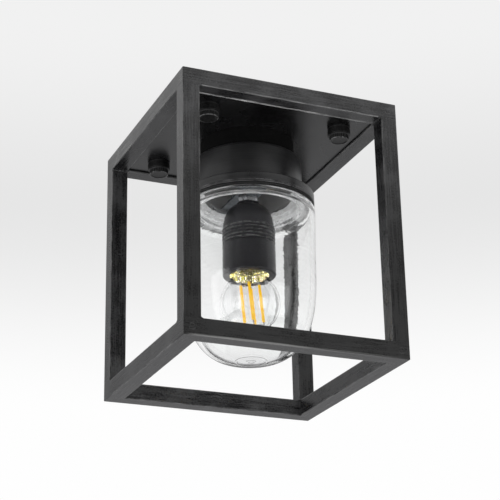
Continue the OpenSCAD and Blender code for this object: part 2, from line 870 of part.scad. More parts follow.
// Thin threaded metal cap of the lamp
module lamp_cap() {
    color("silver") {
        difference() {
            rotate_extrude()
                polygon([[0, -lamp_cap_z], [insulator_r, -lamp_cap_z],
                    [lamp_root_r, -lamp_cap_z - lamp_cap_cone_h], [lamp_root_r, -lamp_cap_end_z],
                    [0, -lamp_cap_end_z]]);
            disc(lamp_neck_r, lamp_cap_z + lamp_cap_cone_h, lamp_cap_end_z + eps);
        }
        thread_ridge(lamp_root_r, lamp_thread_r, lamp_ridge_root, lamp_ridge_crest, lamp_pitch,
            lamp_turns, lamp_ridge_z, 0);
    }
}

// Outline of the globe from its neck to the end, moved in by inset.
// A cubic runs from the straight neck into the sphere, which it meets at join_at above the centre.
function globe_outline(inset) =
    let (r = globe_r - inset, join_at = join_share * r, join_r = sqrt(r * r - join_at * join_at))
    let (z0 = -lamp_cap_end_z, z1 = join_at - globe_z, run = z0 - z1)
    let (r0 = lamp_neck_r - inset, slope = join_at / join_r * run)
    concat(
        [[r0, -lamp_neck_z]],
        [for (i = [0:9])
            let (t = i / 9)
            [r0 + (join_r - r0) * t * t * (3 - 2 * t) + slope * t * t * (t - 1), z0 - run * t]],
        [for (i = [1:16])
            let (a = asin(join_at / r) - (asin(join_at / r) + 90) * i / 16)
            [r * cos(a), r * sin(a) - globe_z]]);

module lamp_globe() {
    color("lightcyan", 0.4)
        rotate_extrude() polygon(concat(globe_outline(0), backwards(globe_outline(globe_wall))));
}

// Glass stem that closes the lamp's neck and carries the filaments' wires
module lamp_stem() {
    top_z = lamp_neck_z;
    end_z = globe_z - filament_len / 2 - star_t;
    color("lightcyan", 0.6)
        rotate_extrude()
            polygon([[0, -top_z], [lamp_neck_r - globe_wall, -top_z],
                [lamp_neck_r - globe_wall, -top_z - stem_flare_h],
                [stem_top_r, -top_z - stem_flare_h - stem_cone_h], [stem_end_r, -end_z], [0, -end_z]]);
}

// Four upright filaments with a wire star above them and one below them
module lamp_filaments() {
    top_z = globe_z - filament_len / 2;
    end_z = globe_z + filament_len / 2;
    color("gold") {
        for (i = [0:3])
            rotate([0, 0, 90 * i + filament_turn]) {
                translate([filament_at, 0, 0]) disc(filament_r, top_z, end_z);
                for (z = [top_z - star_t, end_z])
                    translate([0, -star_t / 2, -z - star_t])
                        cube([filament_at + filament_r, star_t, star_t]);
            }
    }
}

ceiling_bracket();
bracket_studs();
stud_sleeves();
cable_grommet();
bracket_earth_screw();
rail(0, 0);  // top_rail_front
rail(0, 1);  // top_rail_right
rail(0, 2);  // top_rail_back
rail(0, 3);  // top_rail_left
post(-1, -1);  // post_front_left
post(1, -1);  // post_front_right
post(1, 1);  // post_back_right
post(-1, 1);  // post_back_left
rail(frame_h - bar, 0);  // bottom_rail_front
rail(frame_h - bar, 1);  // bottom_rail_right
rail(frame_h - bar, 2);  // bottom_rail_back
rail(frame_h - bar, 3);  // bottom_rail_left
cover_plate();
washer(-1, -1);  // washer_front_left
washer(1, -1);  // washer_front_right
washer(1, 1);  // washer_back_right
washer(-1, 1);  // washer_back_left
thumb_nut(-1, -1);  // thumb_nut_front_left
thumb_nut(1, -1);  // thumb_nut_front_right
thumb_nut(1, 1);  // thumb_nut_back_right
thumb_nut(-1, 1);  // thumb_nut_back_left
neck_spacer();
upper_rod();
upper_rod_nuts();
canister();
terminal_block();
terminal_screws();
earth_screw();
earth_lug();
jar_ring();
ring_screw_set();
holder_strap();
strap_screws();
lower_rod();
lower_rod_nuts();
holder_cap();
holder_sleeve();
holder_insert();
holder_terminals();
screw_shell();
centre_contact();
live_lead();
neutral_lead();
earth_lead();
jar_gasket();
glass_jar();
lamp_contact();
lamp_cap();
lamp_insulator();
lamp_globe();
lamp_stem();
lamp_filaments();
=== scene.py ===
import bmesh
import bpy
import numpy as np
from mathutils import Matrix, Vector


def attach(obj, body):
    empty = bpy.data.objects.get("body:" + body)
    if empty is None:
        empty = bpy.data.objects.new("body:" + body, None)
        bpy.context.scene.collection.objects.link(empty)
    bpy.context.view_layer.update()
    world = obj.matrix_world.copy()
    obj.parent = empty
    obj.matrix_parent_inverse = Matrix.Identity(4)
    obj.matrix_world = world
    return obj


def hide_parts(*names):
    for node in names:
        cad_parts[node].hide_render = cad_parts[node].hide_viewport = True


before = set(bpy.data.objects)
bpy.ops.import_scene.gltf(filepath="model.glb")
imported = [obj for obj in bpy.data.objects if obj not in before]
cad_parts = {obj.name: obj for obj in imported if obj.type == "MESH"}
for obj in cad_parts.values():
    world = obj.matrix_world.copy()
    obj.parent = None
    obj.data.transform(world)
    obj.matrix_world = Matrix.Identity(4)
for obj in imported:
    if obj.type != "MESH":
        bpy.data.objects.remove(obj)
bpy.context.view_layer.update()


# Camera and studio. The camera and clear glass see a pale wall, which is darkest at the lantern's
# own height. Gloss sees a room that is bright above and dim in front, where the camera stands.
# Soft panels light the lantern from the left and from the front.

class Value:
    """An output socket that adds, multiplies and so on by making a maths node of its own tree."""

    def __init__(self, tree, socket):
        self.tree = tree
        self.socket = socket

    def maths(self, operation, *others):
        return self.tree.add("ShaderNodeMath", {"operation": operation}, {
            i: value for i, value in enumerate((self,) + others)})

    def size(self):
        """The value without its sign."""
        return self.maths("ABSOLUTE")

    def least(self, other):
        """The lower one of two values."""
        return self.maths("MINIMUM", other)

    def reach(self, other):
        """Root of the sum of both squares."""
        return (self * self + other * other).maths("POWER", 0.5)

    def __add__(self, other):
        return self.maths("ADD", other)

    __radd__ = __add__

    def __sub__(self, other):
        return self.maths("SUBTRACT", other)

    def __rsub__(self, other):
        return (self * -1.0) + other

    def __mul__(self, other):
        return self.maths("MULTIPLY", other)

    __rmul__ = __mul__

    def step(self, low, high):
        """0 below low, 1 above high and a smooth S between them."""
        return self.tree.add("ShaderNodeMapRange", {"interpolation_type": "SMOOTHSTEP"}, {
            "Value": self, "From Min": low, "From Max": high})


class Tree:
    """A node tree with one way to add any node."""

    def __init__(self, node_tree):
        self.nodes = node_tree.nodes
        self.links = node_tree.links

    def feed(self, socket, value):
        if isinstance(value, Value):
            self.links.new(value.socket, socket)
        elif value is not None:
            socket.default_value = value

    def add(self, kind, settings=None, sockets=None, output=0):
        """Adds a node, makes its settings, then sets or links its sockets. Returns one output,
        or nothing for a node that has none."""
        node = self.nodes.new(kind)
        for name, value in (settings or {}).items():
            setattr(node, name, value)
        for name, value in (sockets or {}).items():
            self.feed(node.inputs[name], value)
        return Value(self, node.outputs[output]) if node.outputs else None

    def mix(self, share, low, high):
        """Colour that goes from low to high as share goes from 0 to 1."""
        return self.add("ShaderNodeMix", {"data_type": "RGBA"}, {0: share, 6: low, 7: high}, 2)

    def split(self, vector):
        """The x, y and z of a vector, as three values."""
        node = self.add("ShaderNodeSeparateXYZ", {}, {0: vector}).socket.node
        return [Value(self, output) for output in node.outputs]

    def place(self):
        """Point of the surface in metres, in the row frame."""
        return self.add("ShaderNodeTexCoord", {}, {}, 3)

    def place_mm(self):
        """The x, y and z of that point in mm, as three values."""
        return [part * 1000.0 for part in self.split(self.place())]

    def stretched(self, scale):
        """That point with each coordinate times its own scale."""
        return self.add("ShaderNodeMapping", {}, {"Vector": self.place(), "Scale": scale})

    def noise(self, vector, scale, detail=3.0, roughness=0.5):
        """Soft noise from about 0.3 to 0.7."""
        return self.add("ShaderNodeTexNoise", {}, {
            "Vector": vector, "Scale": scale, "Detail": detail, "Roughness": roughness})


class Finish(Tree):
    """A material round one Principled shader. Sockets are named as the shader names them."""

    def __init__(self, name, sockets):
        self.material = bpy.data.materials.new(name)
        self.material.use_nodes = True
        super().__init__(self.material.node_tree)
        self.shader = self.nodes["Principled BSDF"]
        self.set(sockets)

    def set(self, sockets):
        for name, value in sockets.items():
            self.feed(self.shader.inputs[name], value)

    def bump(self, height, distance, strength=1.0):
        """Shades the surface as if it rose by height times distance, in metres."""
        self.feed(self.shader.inputs["Normal"], self.add("ShaderNodeBump", {}, {
            "Height": height, "Distance": distance, "Strength": strength}))
        return self

    def speckle(self, low, high, scale, smooth, rougher):
        """Base colour that wanders between two colours in patches of about 1 / scale metres, and
        roughness that wanders with it from smooth up by rougher. Returns the noise."""
        noise = self.noise(self.place(), scale, 4.0)
        share = noise.step(0.3, 0.7)
        self.set({"Base Color": self.mix(share, low, high), "Roughness": share * rougher + smooth})
        return noise

    def cover(self, share, colour):
        """Puts a colour over the base colour so far, in the share that is given."""
        so_far = Value(self, self.shader.inputs["Base Color"].links[0].from_socket)
        self.set({"Base Color": self.mix(share, so_far, colour)})


def grey(level):
    """Linear colour of an sRGB grey from 0 to 255."""
    share = level / 255.0
    linear = share / 12.92 if share <= 0.04045 else ((share + 0.055) / 1.055) ** 2.4
    return (linear, linear, linear, 1.0)


scene = bpy.context.scene
scene.view_settings.view_transform = "Standard"
camera_data = bpy.data.cameras.new("camera")
camera_data.lens = 111.45
camera_data.sensor_width = 36.0
camera = bpy.data.objects.new("camera", camera_data)
camera.location = (-0.4301, -0.993, -0.5273)
camera.rotation_euler = np.radians((111.687, 1.092, -23.028))
scene.collection.objects.link(camera)
scene.camera = camera

world = bpy.data.worlds.new("studio")
scene.world = world
world.use_nodes = True
world.node_tree.nodes.clear()
sky = Tree(world.node_tree)
east, north, height = sky.split(sky.add("ShaderNodeTexCoord", {}, {}, 0))
pale = sky.mix(height.step(0.27, 0.4), grey(254), grey(230))
pale = sky.mix(height.step(0.39, 0.5), pale, grey(241))

# What gloss mirrors, then what is seen through glass, then which ray sees which of them.
towards_camera = east * -0.394 + north * -0.919
behind = sky.mix(height.step(0.2, 0.52), (0.28, 0.28, 0.285, 1.0), (1.0, 1.0, 1.0, 1.0))
ahead = sky.mix(height.step(0.26, 0.56), (0.02, 0.02, 0.02, 1.0), (1.5, 1.5, 1.5, 1.0))
mirrored = sky.mix(north.step(-0.6, 0.2), ahead, behind)
mirrored = sky.mix(height.step(-0.05, 0.12), (0.6, 0.6, 0.6, 1.0), mirrored)
mirrored = sky.mix(towards_camera.step(0.68, 0.93) * 0.9, mirrored, (0.05, 0.05, 0.05, 1.0))
rays = sky.add("ShaderNodeLightPath").socket.node.outputs
rays = {output.name: Value(sky, output) for output in rays}
after_gloss = rays["Glossy Depth"].step(0.4, 0.6)
through = sky.mix(towards_camera.step(0.1, 0.7) * after_gloss * 0.93, pale, (0.03, 0.03, 0.03, 1.0))
through = sky.mix(rays["Diffuse Depth"].step(0.4, 0.6), through, (0.45, 0.45, 0.46, 1.0))
shown = sky.mix(rays["Is Glossy Ray"], (0.5, 0.5, 0.51, 1.0), mirrored)
shown = sky.mix(rays["Is Transmission Ray"], shown, through)
shown = sky.mix(rays["Is Camera Ray"], shown, pale)
sky.add("ShaderNodeOutputWorld", {}, {
    "Surface": sky.add("ShaderNodeBackground", {}, {"Color": shown, "Strength": 1.0})})


def panel(name, place, aim, width, height, power):
    """Soft rectangular lamp at place that faces the point aim."""
    lamp = bpy.data.lights.new(name, "AREA")
    lamp.shape = "RECTANGLE"
    lamp.size = width
    lamp.size_y = height
    lamp.energy = power
    holder = bpy.data.objects.new(name, lamp)
    holder.location = place
    holder.rotation_euler = (Vector(aim) - Vector(place)).to_track_quat("-Z", "Y").to_euler()
    scene.collection.objects.link(holder)


LANTERN_MIDDLE = (0, 0, -0.1)
panel("panel_left", (-1.5, -0.7, -0.5), LANTERN_MIDDLE, 1.8, 1.8, 15)
panel("panel_front", (0.95, -1.6, -0.5), LANTERN_MIDDLE, 1.3, 1.3, 8)

FLOOR_HALF = 12
FLOOR_Z = -1.3
floor_mesh = bpy.data.meshes.new("floor")
floor_mesh.from_pydata([
    (FLOOR_HALF * sx, FLOOR_HALF * sy, FLOOR_Z) for sx, sy in ((-1, -1), (1, -1), (1, 1), (-1, 1))
], [], [(0, 1, 2, 3)])
floor = bpy.data.objects.new("floor", floor_mesh)
scene.collection.objects.link(floor)
floor_finish = Finish("floor_pale", {
    "Base Color": grey(245), "Roughness": 0.8, "Emission Color": (1.0, 1.0, 1.0, 1.0),
    "Emission Strength": 0.1})
floor_mesh.materials.append(floor_finish.material)


# Lantern frame. Four posts and eight rails of 12.7 mm square steel tube, mitred, welded and ground
# flush, so that the tube's rounded edges fade out at the corners and a small fillet of weld stays
# in each window corner. Black satin paint over steel that was brushed along each tube.

MM = 0.001
BODY = "lantern_body"
CORNERS = {
    "front_left": (-1, -1), "front_right": (1, -1), "back_right": (1, 1), "back_left": (-1, 1)}
SIDES = ("front", "right", "back", "left")
FRAME_HALF = 85.0
FRAME_H = 200.0
BAR = 12.7
BAR_EDGE = 0.5
GROUND_EDGE = 0.05
WELD = 1.5


def brushed(name, axis):
    """Paint over brushing along one axis: noise that is stretched along that axis, with specks.
    Where both section coordinates come near the tube's corner, the paint is lighter in short
    dashes, partly wear and partly painted highlight. Painted highlight lines run along the lower
    edge of the back and right top rails' inner faces. On the rails along x, painted highlights
    run in front along both lower edges of the top rail and the outer lower edge of the bottom
    rail, stronger to the left, and there is a small round weld mark near each end. Painted shade
    darkens the front further down, and the inner face of the right post behind."""
    finish = Finish(name, {"Specular IOR Level": 0.5})
    stretch = [1500.0, 1500.0, 1500.0]
    stretch[axis] = 40.0
    point = finish.stretched(stretch)
    streak = finish.noise(point, 1.0, 2.0, 0.6)
    specks = finish.noise(finish.place(), 800.0, 3.0, 0.6)
    cloud = finish.noise(finish.place(), 45.0, 3.0)
    x, y, z = finish.place_mm()
    depth = z * -1.0
    forward = y * -1.0 - FRAME_HALF
    middle = FRAME_HALF - BAR / 2
    across = [x.size(), y.size(), (z + FRAME_H / 2).size()]
    centre = [middle, middle, (FRAME_H - BAR) / 2]
    along = across[axis]
    first, second = [(across[i] - centre[i]).size() for i in range(3) if i != axis]
    edge = first.least(second).step(BAR / 2 - 1.1, BAR / 2 - 0.45)
    window = (centre[axis] - BAR / 2 - 1.0 - along).step(0.0, 2.0)
    dashes = finish.noise(point, 2.0, 3.0, 0.7).step(0.44, 0.6)
    tone = (streak * 0.3 + specks * 0.3 + cloud * 0.4).step(0.42, 0.64)
    roughness = (streak * 0.4 + specks * 0.3 + cloud * 0.3).step(0.36, 0.64) * 0.3 + 0.2
    relief = streak * 0.6 + specks * 0.4
    finish.set({
        "Base Color": finish.mix(tone, (0.004, 0.004, 0.0045, 1.0), (0.058, 0.058, 0.059, 1.0)),
        "Roughness": roughness})
    # Lighter dashes along the rounded edges: partly wear, partly painted highlight.
    finish.cover(edge * window * dashes * 0.7, (0.2, 0.2, 0.198, 1.0))
    # Painted shade: the front faces grow darker further down.
    painted_shade = forward.step(-0.3, -0.1) * depth.step(0.0, 150.0) * 0.93
    finish.cover(painted_shade, (0.001, 0.001, 0.001, 1.0))
    inward = x if axis == 1 else y
    inner_face = 1.0 - (inward - FRAME_HALF + BAR).size().step(0.1, 0.3)
    if axis == 2:
        # Painted shade: the inner face of the back right post is darkened almost to black.
        finish.cover(inner_face * x.step(0.0, 10.0) * 0.75, (0.002, 0.002, 0.002, 1.0))
    else:
        # Painted highlight: a light band along the lower edge of the back and right top rails'
        # inner faces.
        lip = (depth - BAR).step(-1.3, -1.0) * (BAR + 0.7 - depth).step(0.0, 0.3)
        finish.cover(inner_face * lip, (0.14, 0.14, 0.14, 1.0))
    if axis == 0:
        # Painted highlights on the front rails, stronger to the left, where the main panel stands.
        left = 1.0 - x.step(-40.0, 80.0) * 0.75
        broken = finish.noise(point, 1.4, 3.0, 0.7).step(0.46, 0.56)
        # Painted highlight: a broken near-white line along the front top rail's inner lower edge.
        inside = (y + FRAME_HALF - BAR).step(-2.7, -2.1) * (20.0 - depth).step(0.0, 1.0)
        inner_edge_highlight = inside * (y * -1.0).step(0.0, 1.0) * window * left * broken
        finish.cover(inner_edge_highlight, (0.9, 0.9, 0.89, 1.0))
        # Painted highlight: a broken grey line along the front top rail's outer lower edge.
        below = (1.0 - (depth - BAR).size().step(0.3, 0.75)) * forward.step(-1.0, -0.5)
        finish.cover(below * window * broken * 0.55, (0.42, 0.42, 0.415, 1.0))
        # Painted highlight: a soft light line along the front bottom rail's outer lower edge.
        soft = finish.noise(point, 0.7, 2.0).step(0.3, 0.6)
        outside = (depth - FRAME_H).step(-1.5, -0.6) * forward.step(-1.6, -0.6)
        finish.cover(outside * (84.0 - along).step(0.0, 6.0) * left * soft, (0.2, 0.2, 0.195, 1.0))
        weld_mark = (along - centre[0]).reach(across[2] - centre[2])
        relief = relief - (1.0 - (weld_mark - 2.2).size().step(0.1, 0.5)) * 1.2
    return finish.bump(relief, 0.0002, 0.8).material


def grids_to_mesh(name, grids, caps=True, sharp=35.0):
    """Mesh from grids of points, each (rows, columns, 3) in mm with a flag for closed columns.
    Corner k of the face at row i and column j is the point of the next row or column, by index
    arithmetic over the whole grid. Equal points are merged and open ends are filled."""
    points = []
    faces = []
    start = 0
    for grid, closed in grids:
        rows, columns = grid.shape[:2]
        index = np.arange(rows * columns).reshape(rows, columns) + start
        if closed:
            index = np.concatenate([index, index[:, :1]], axis=1)
        corners = [index[:-1, :-1], index[:-1, 1:], index[1:, 1:], index[1:, :-1]]
        faces.append(np.stack(corners, axis=-1).reshape(-1, 4))
        points.append(grid.reshape(-1, 3))
        start += rows * columns
    points = np.concatenate(points) * MM
    faces = np.concatenate(faces)
    mesh = bpy.data.meshes.new(name)
    mesh.from_pydata(points.tolist(), [], faces.tolist())
    work = bmesh.new()
    work.from_mesh(mesh)
    bmesh.ops.remove_doubles(work, verts=work.verts, dist=2e-7)
    if caps:
        bmesh.ops.holes_fill(work, edges=[e for e in work.edges if e.is_boundary], sides=0)
    bmesh.ops.recalc_face_normals(work, faces=work.faces)
    work.to_mesh(mesh)
    work.free()
    mesh.shade_smooth()
    mesh.set_sharp_from_angle(angle=np.radians(sharp))
    return mesh


def make_piece(name, mesh, material, body, slot, *nodes):
    """Object with its mesh in the row frame, that rides on a body and stands for CAD nodes."""
    mesh.materials.clear()
    mesh.materials.append(material)
    made = bpy.data.objects.new(name, mesh)
    scene.collection.objects.link(made)
    normals = made.modifiers.new("normals", "WEIGHTED_NORMAL")
    normals.keep_sharp = True
    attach(made, body)
    if nodes:
        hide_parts(*nodes)


def square_section(half, radii, steps=6):
    """Closed square section with rounded corners, for each row of radii (rows, 4). Half the side
    is one value, or one for each row. Corner k has its centre at the square's corner less the
    radius, and an arc from 90k to 90k + 90 degrees. Returns (rows, 4 * steps + 4, 2)."""
    signs = np.array([(1, 1), (-1, 1), (-1, -1), (1, -1)], float)
    turn = np.radians(90.0 * np.arange(4)[:, None] + np.linspace(0, 90, steps + 1)[None, :])
    arc = np.stack([np.cos(turn), np.sin(turn)], axis=-1)
    radii = np.asarray(radii, float)[:, :, None, None]
    half = np.reshape(half, (-1, 1, 1, 1))
    points = signs[None, :, None, :] * (half - radii) + arc[None] * radii
    return points.reshape(len(radii), -1, 2)


def faded_edge(distance):
    """Edge radius at a distance from the weld. The share s is the distance over the weld's length,
    at most 1, and the radius goes by 3 s squared less 2 s cubed from ground off to the tube's."""
    share = np.clip(distance / WELD, 0, 1)
    return GROUND_EDGE + (BAR_EDGE - GROUND_EDGE) * share * share * (3 - 2 * share)


def rail_grid(top_z, quarter, post_below):
    """Rail with mitred ends. A section (out, up) is carried along half a side of a square and
    round its corner to the mitre plane at 45 degrees, then mirrored."""
    window = FRAME_HALF - BAR
    reach = np.concatenate([
        [0, 40, window - 2 * WELD], window - WELD * np.linspace(1, 0, 6), [window + 4, window + 9],
        FRAME_HALF - BAR_EDGE + BAR_EDGE * np.radians(np.linspace(0, 45, 6))])
    welded = faded_edge(np.abs(window - reach) * (reach < window))
    plain = np.full_like(welded, BAR_EDGE)
    up, down = (plain, welded) if post_below else (welded, plain)
    section = square_section(BAR / 2, np.stack([up, up, down, down], axis=1))
    side = FRAME_HALF - BAR / 2 + section[:, :, 0]
    run = reach[:, None]
    bend = np.clip((run - (side - BAR_EDGE)) / BAR_EDGE, 0, np.pi / 4)
    straight = np.minimum(run, side - BAR_EDGE)
    x = straight + BAR_EDGE * np.sin(bend)
    out = side - BAR_EDGE + BAR_EDGE * np.cos(bend)
    half = np.stack([x, -out, section[:, :, 1] - top_z - BAR / 2], axis=-1)
    mirrored = half[:0:-1] * (-1, 1, 1)
    grid = np.concatenate([mirrored, half])
    turned_x, turned_y = grid[..., 0].copy(), grid[..., 1].copy()
    cos, sin = ((1, 0), (0, 1), (-1, 0), (0, -1))[quarter]
    grid[..., 0] = turned_x * cos - turned_y * sin
    grid[..., 1] = turned_x * sin + turned_y * cos
    return grid


def post_grid(sx, sy):
    """Post between the rails. The two faces at the windows flare by the weld's fillet, which at a
    distance d from the rail stands out by w - sqrt(w squared - (w - d) squared)."""
    ends = WELD * np.linspace(0, 1, 6)
    z = np.concatenate([-BAR - ends, [-FRAME_H / 2], -FRAME_H + BAR + ends[::-1]])
    distance = np.minimum(-BAR - z, z + FRAME_H - BAR)
    welded = faded_edge(distance)
    plain = np.full_like(welded, BAR_EDGE)
    radii = np.stack([welded, welded, plain, welded], axis=1)
    section = square_section(BAR / 2, radii)
    near = np.clip(WELD - distance, 0, WELD)
    flare = WELD - np.sqrt(WELD * WELD - near * near)
    section = section + (section > 0) * flare[:, None, None]
    x = -sx * section[..., 0] + sx * (FRAME_HALF - BAR / 2)
    y = -sy * section[..., 1] + sy * (FRAME_HALF - BAR / 2)
    return np.stack([x, y, np.broadcast_to(z[:, None], x.shape)], axis=-1)


painted = [brushed("frame_paint_" + axis, i) for i, axis in enumerate("xyz")]
for quarter, side in enumerate(SIDES):
    for level, top_z in (("top", 0.0), ("bottom", FRAME_H - BAR)):
        node = level + "_rail_" + side
        mesh = grids_to_mesh(node, [(rail_grid(top_z, quarter, level == "top"), True)])
        make_piece("frame_" + node, mesh, painted[quarter % 2], BODY, "frame_black", node)
for corner, (sx, sy) in CORNERS.items():
    node = "post_" + corner
    mesh = grids_to_mesh(node, [(post_grid(sx, sy), True)])
    make_piece("frame_" + node, mesh, painted[2], BODY, "frame_black", node)


# Cover plate. A tray of 1.5 mm steel with its rim bent up, which closes the top of the frame. It
# has a hole for each stud and one for the threaded rod. Black satin paint, unbrushed.

PLATE_Z = 11.0
PLATE_T = 1.5
PLATE_RIM = 6.0
PLATE_HALF = FRAME_HALF - BAR
PLATE_CORNER = 3.0
FLOOR_INSET = 14.0
STUD_AT = 53.0
STUD_HOLE_R = 2.8
ROD_HOLE_R = 5.05


def soft_outline(corners, steps=6):
    """Open outline through corners (x, y, radius), each rounded by an arc. The arc starts at
    radius / tan(half the corner's angle) from the corner, and turns about the centre that lies
    radius / sin(half the angle) along the corner's bisector."""
    corners = [(np.array(c[:2], float), c[2] if len(c) > 2 else 0.0) for c in corners]
    points = [corners[0][0][None]]
    for (before, _), (corner, radius), (after, _) in zip(corners, corners[1:], corners[2:]):
        if radius <= 0:
            points.append(corner[None])
            continue
        back = (before - corner) / np.linalg.norm(before - corner)
        ahead = (after - corner) / np.linalg.norm(after - corner)
        half = np.arccos(np.clip(back @ ahead, -1, 1)) / 2
        middle = (back + ahead) / np.linalg.norm(back + ahead)
        centre = corner + middle * radius / np.sin(half)
        first = (corner + back * radius / np.tan(half) - centre) / radius
        last = (corner + ahead * radius / np.tan(half) - centre) / radius
        swing = np.pi - 2 * half
        t = np.linspace(0, 1, steps + 1)[:, None]
        arc = (np.sin((1 - t) * swing) * first + np.sin(t * swing) * last) / np.sin(swing)
        points.append(centre + radius * arc)
    points.append(corners[-1][0][None])
    return np.concatenate(points)


def turned(profile, steps, x=0.0, y=0.0, dents=None):
    """Grid of a profile (r, z) turned about an upright axis at x and y: at angle a it is
    x + r cos a, y + r sin a. Dents (rows, steps) are taken off r."""
    turn = np.linspace(0, 2 * np.pi, steps, endpoint=False)
    r = np.repeat(profile[:, :1], steps, axis=1)
    if dents is not None:
        r = r - dents
    z = np.repeat(profile[:, 1:2], steps, axis=1)
    return np.stack([x + r * np.cos(turn), y + r * np.sin(turn), z], axis=-1)


def plate_grid():
    """The tray as a shell round a profile (inset from the outside, z), carried round a square
    whose corner radius is the corner's less the inset."""
    low = -PLATE_Z
    profile = soft_outline([
        (FLOOR_INSET, low), (0.0, low, 0.6), (0.0, low + PLATE_RIM), (PLATE_T, low + PLATE_RIM),
        (PLATE_T, low + PLATE_T, 0.4), (FLOOR_INSET, low + PLATE_T)], 5)
    inset = profile[:, 0]
    radii = np.clip(PLATE_CORNER - inset, 0.4, None)
    flat = square_section(PLATE_HALF - inset, np.repeat(radii[:, None], 4, axis=1))
    heights = np.broadcast_to(profile[:, None, 1:], flat[..., :1].shape)
    return np.concatenate([flat, heights], axis=-1)


# The tray's floor faces are filled between the shell's two inner edges and the walls of the holes.
holes = [(sx * STUD_AT, sy * STUD_AT, STUD_HOLE_R) for sx, sy in CORNERS.values()]
holes.append((0.0, 0.0, ROD_HOLE_R))
floor_z = (-PLATE_Z, PLATE_T - PLATE_Z)
walls = [(turned(np.array([(r, z) for z in floor_z]), 48, x, y), True) for x, y, r in holes]
plate = grids_to_mesh("cover_plate", [(plate_grid(), True)] + walls, caps=False)
work = bmesh.new()
work.from_mesh(plate)
for z in floor_z:
    ring = [e for e in work.edges
            if e.is_boundary and all(abs(v.co.z - z * MM) < 1e-6 for v in e.verts)]
    bmesh.ops.triangle_fill(work, use_beauty=True, use_dissolve=False, edges=ring)
bmesh.ops.recalc_face_normals(work, faces=work.faces)
work.to_mesh(plate)
work.free()
plate.shade_smooth()
plate.set_sharp_from_angle(angle=np.radians(35))
plate_paint = Finish("plate_paint", {"Specular IOR Level": 0.5})
grain = plate_paint.noise(plate_paint.place(), 420.0, 4.0, 0.6)
cloud = plate_paint.noise(plate_paint.place(), 18.0, 3.0)
plate_paint.set({
    "Base Color": plate_paint.mix((grain * 0.5 + cloud * 0.5).step(0.38, 0.62),
                                  (0.003, 0.003, 0.003, 1), (0.012, 0.012, 0.0125, 1)),
    "Roughness": cloud.step(0.3, 0.7) * 0.08 + 0.22})
plate_paint.bump(grain, 0.00003, 0.5)
make_piece("plate_tray", plate, plate_paint.material, BODY, "plate_black", "cover_plate")


# Ceiling bracket with its studs, spacer sleeves, cable grommet and earth screw, all above the
# plate. Zinc-plated pressed steel and turned parts, a rubber bush and a brass screw.

def dress(material, *names):
    """Gives CAD nodes a finish and leaves their shape."""
    for name in names:
        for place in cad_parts[name].material_slots:
            place.material = material


def plated(name, low, high, scale=260.0, roughness=0.32):
    """Zinc: fine crystal patches in colour and roughness."""
    finish = Finish(name, {"Metallic": 1.0})
    noise = finish.speckle(low, high, scale, roughness, 0.15)
    return finish.bump(noise, 0.00002, 0.4).material


zinc = plated("zinc_plate", (0.42, 0.43, 0.45, 1), (0.62, 0.63, 0.65, 1))
bright_zinc = plated("zinc_fasteners", (0.5, 0.51, 0.53, 1), (0.7, 0.7, 0.71, 1), 600.0, 0.25)
brass = plated("brass_plain", (0.62, 0.43, 0.17, 1), (0.78, 0.58, 0.28, 1), 500.0, 0.22)
rubber = Finish("rubber_bush", {"Specular IOR Level": 0.3})
speck = rubber.speckle((0.016, 0.016, 0.016, 1), (0.034, 0.034, 0.033, 1), 380.0, 0.6, 0.2)
rubber.bump(speck, 0.00004, 0.5)
dress(zinc, "ceiling_bracket", "stud_sleeves", "earth_lug")
dress(bright_zinc, "bracket_studs")
dress(rubber.material, "cable_grommet")
dress(brass, "bracket_earth_screw")


# Washers and thumb nuts. Four flat steel washers and four moulded black nuts with a collar, a
# straight-knurled grip and a closed end. They clamp the plate to the bracket's studs.

WASHER_Z = 12.0
WASHER_R = 8.25
STUD_R = 2.5
COLLAR_R = 8.6
COLLAR_H = 5.0
GRIP_R = 7.3
NUT_H = 9.0
NUT_BORE_H = 7.8
KNURLS = 30
KNURL_D = 0.4
NUT_COLUMNS = KNURLS * 8
NUT_END_R = 5.6


def closed(profile):
    """The profile with its first point again at its end, for a ring."""
    return np.concatenate([profile, profile[:1]])


washer_profile = closed(soft_outline([
    (STUD_R + 0.1, -PLATE_Z), (WASHER_R, -PLATE_Z, 0.15), (WASHER_R, -WASHER_Z, 0.15),
    (STUD_R + 0.1, -WASHER_Z)], 3))
collar_z = -WASHER_Z - COLLAR_H
end_z = -WASHER_Z - NUT_H
knurl_rows = np.linspace(collar_z - 0.5, end_z + 0.85, 5)
nut_profile = np.concatenate([
    soft_outline([(0, -WASHER_Z - NUT_BORE_H), (STUD_R + 0.05, -WASHER_Z - NUT_BORE_H),
                  (STUD_R + 0.05, -WASHER_Z), (COLLAR_R, -WASHER_Z, 0.3), (COLLAR_R, collar_z, 0.5),
                  (GRIP_R, collar_z, 0.25), (GRIP_R, collar_z - 0.45)], 4),
    np.stack([np.full(5, GRIP_R), knurl_rows], axis=1),
    soft_outline([(GRIP_R, end_z + 0.8), (GRIP_R, end_z, 0.55), (NUT_END_R, end_z, 0.8),
                  (NUT_END_R - 0.3, end_z + 0.3, 0.8), (0, end_z + 0.3)], 5)])
knurled = ((nut_profile[:, 1] <= knurl_rows[0] + 1e-6) & (nut_profile[:, 1] > end_z + 0.4)
           & (nut_profile[:, 0] > GRIP_R - 0.6)).astype(float)
nut_turn = np.linspace(0, 2 * np.pi, NUT_COLUMNS, endpoint=False)
comb = 0.5 - 0.5 * np.cos(nut_turn * KNURLS)
nut_dents = knurled[:, None] * KNURL_D * comb[None, :] ** 0.7

nut_moulding = Finish("nut_moulding", {"Specular IOR Level": 0.2})
speck = nut_moulding.speckle((0.005, 0.005, 0.005, 1), (0.014, 0.014, 0.014, 1), 900.0, 0.26, 0.14)
x, y, z = nut_moulding.place_mm()
off_axis = (x.size() - STUD_AT).reach(y.size() - STUD_AT)
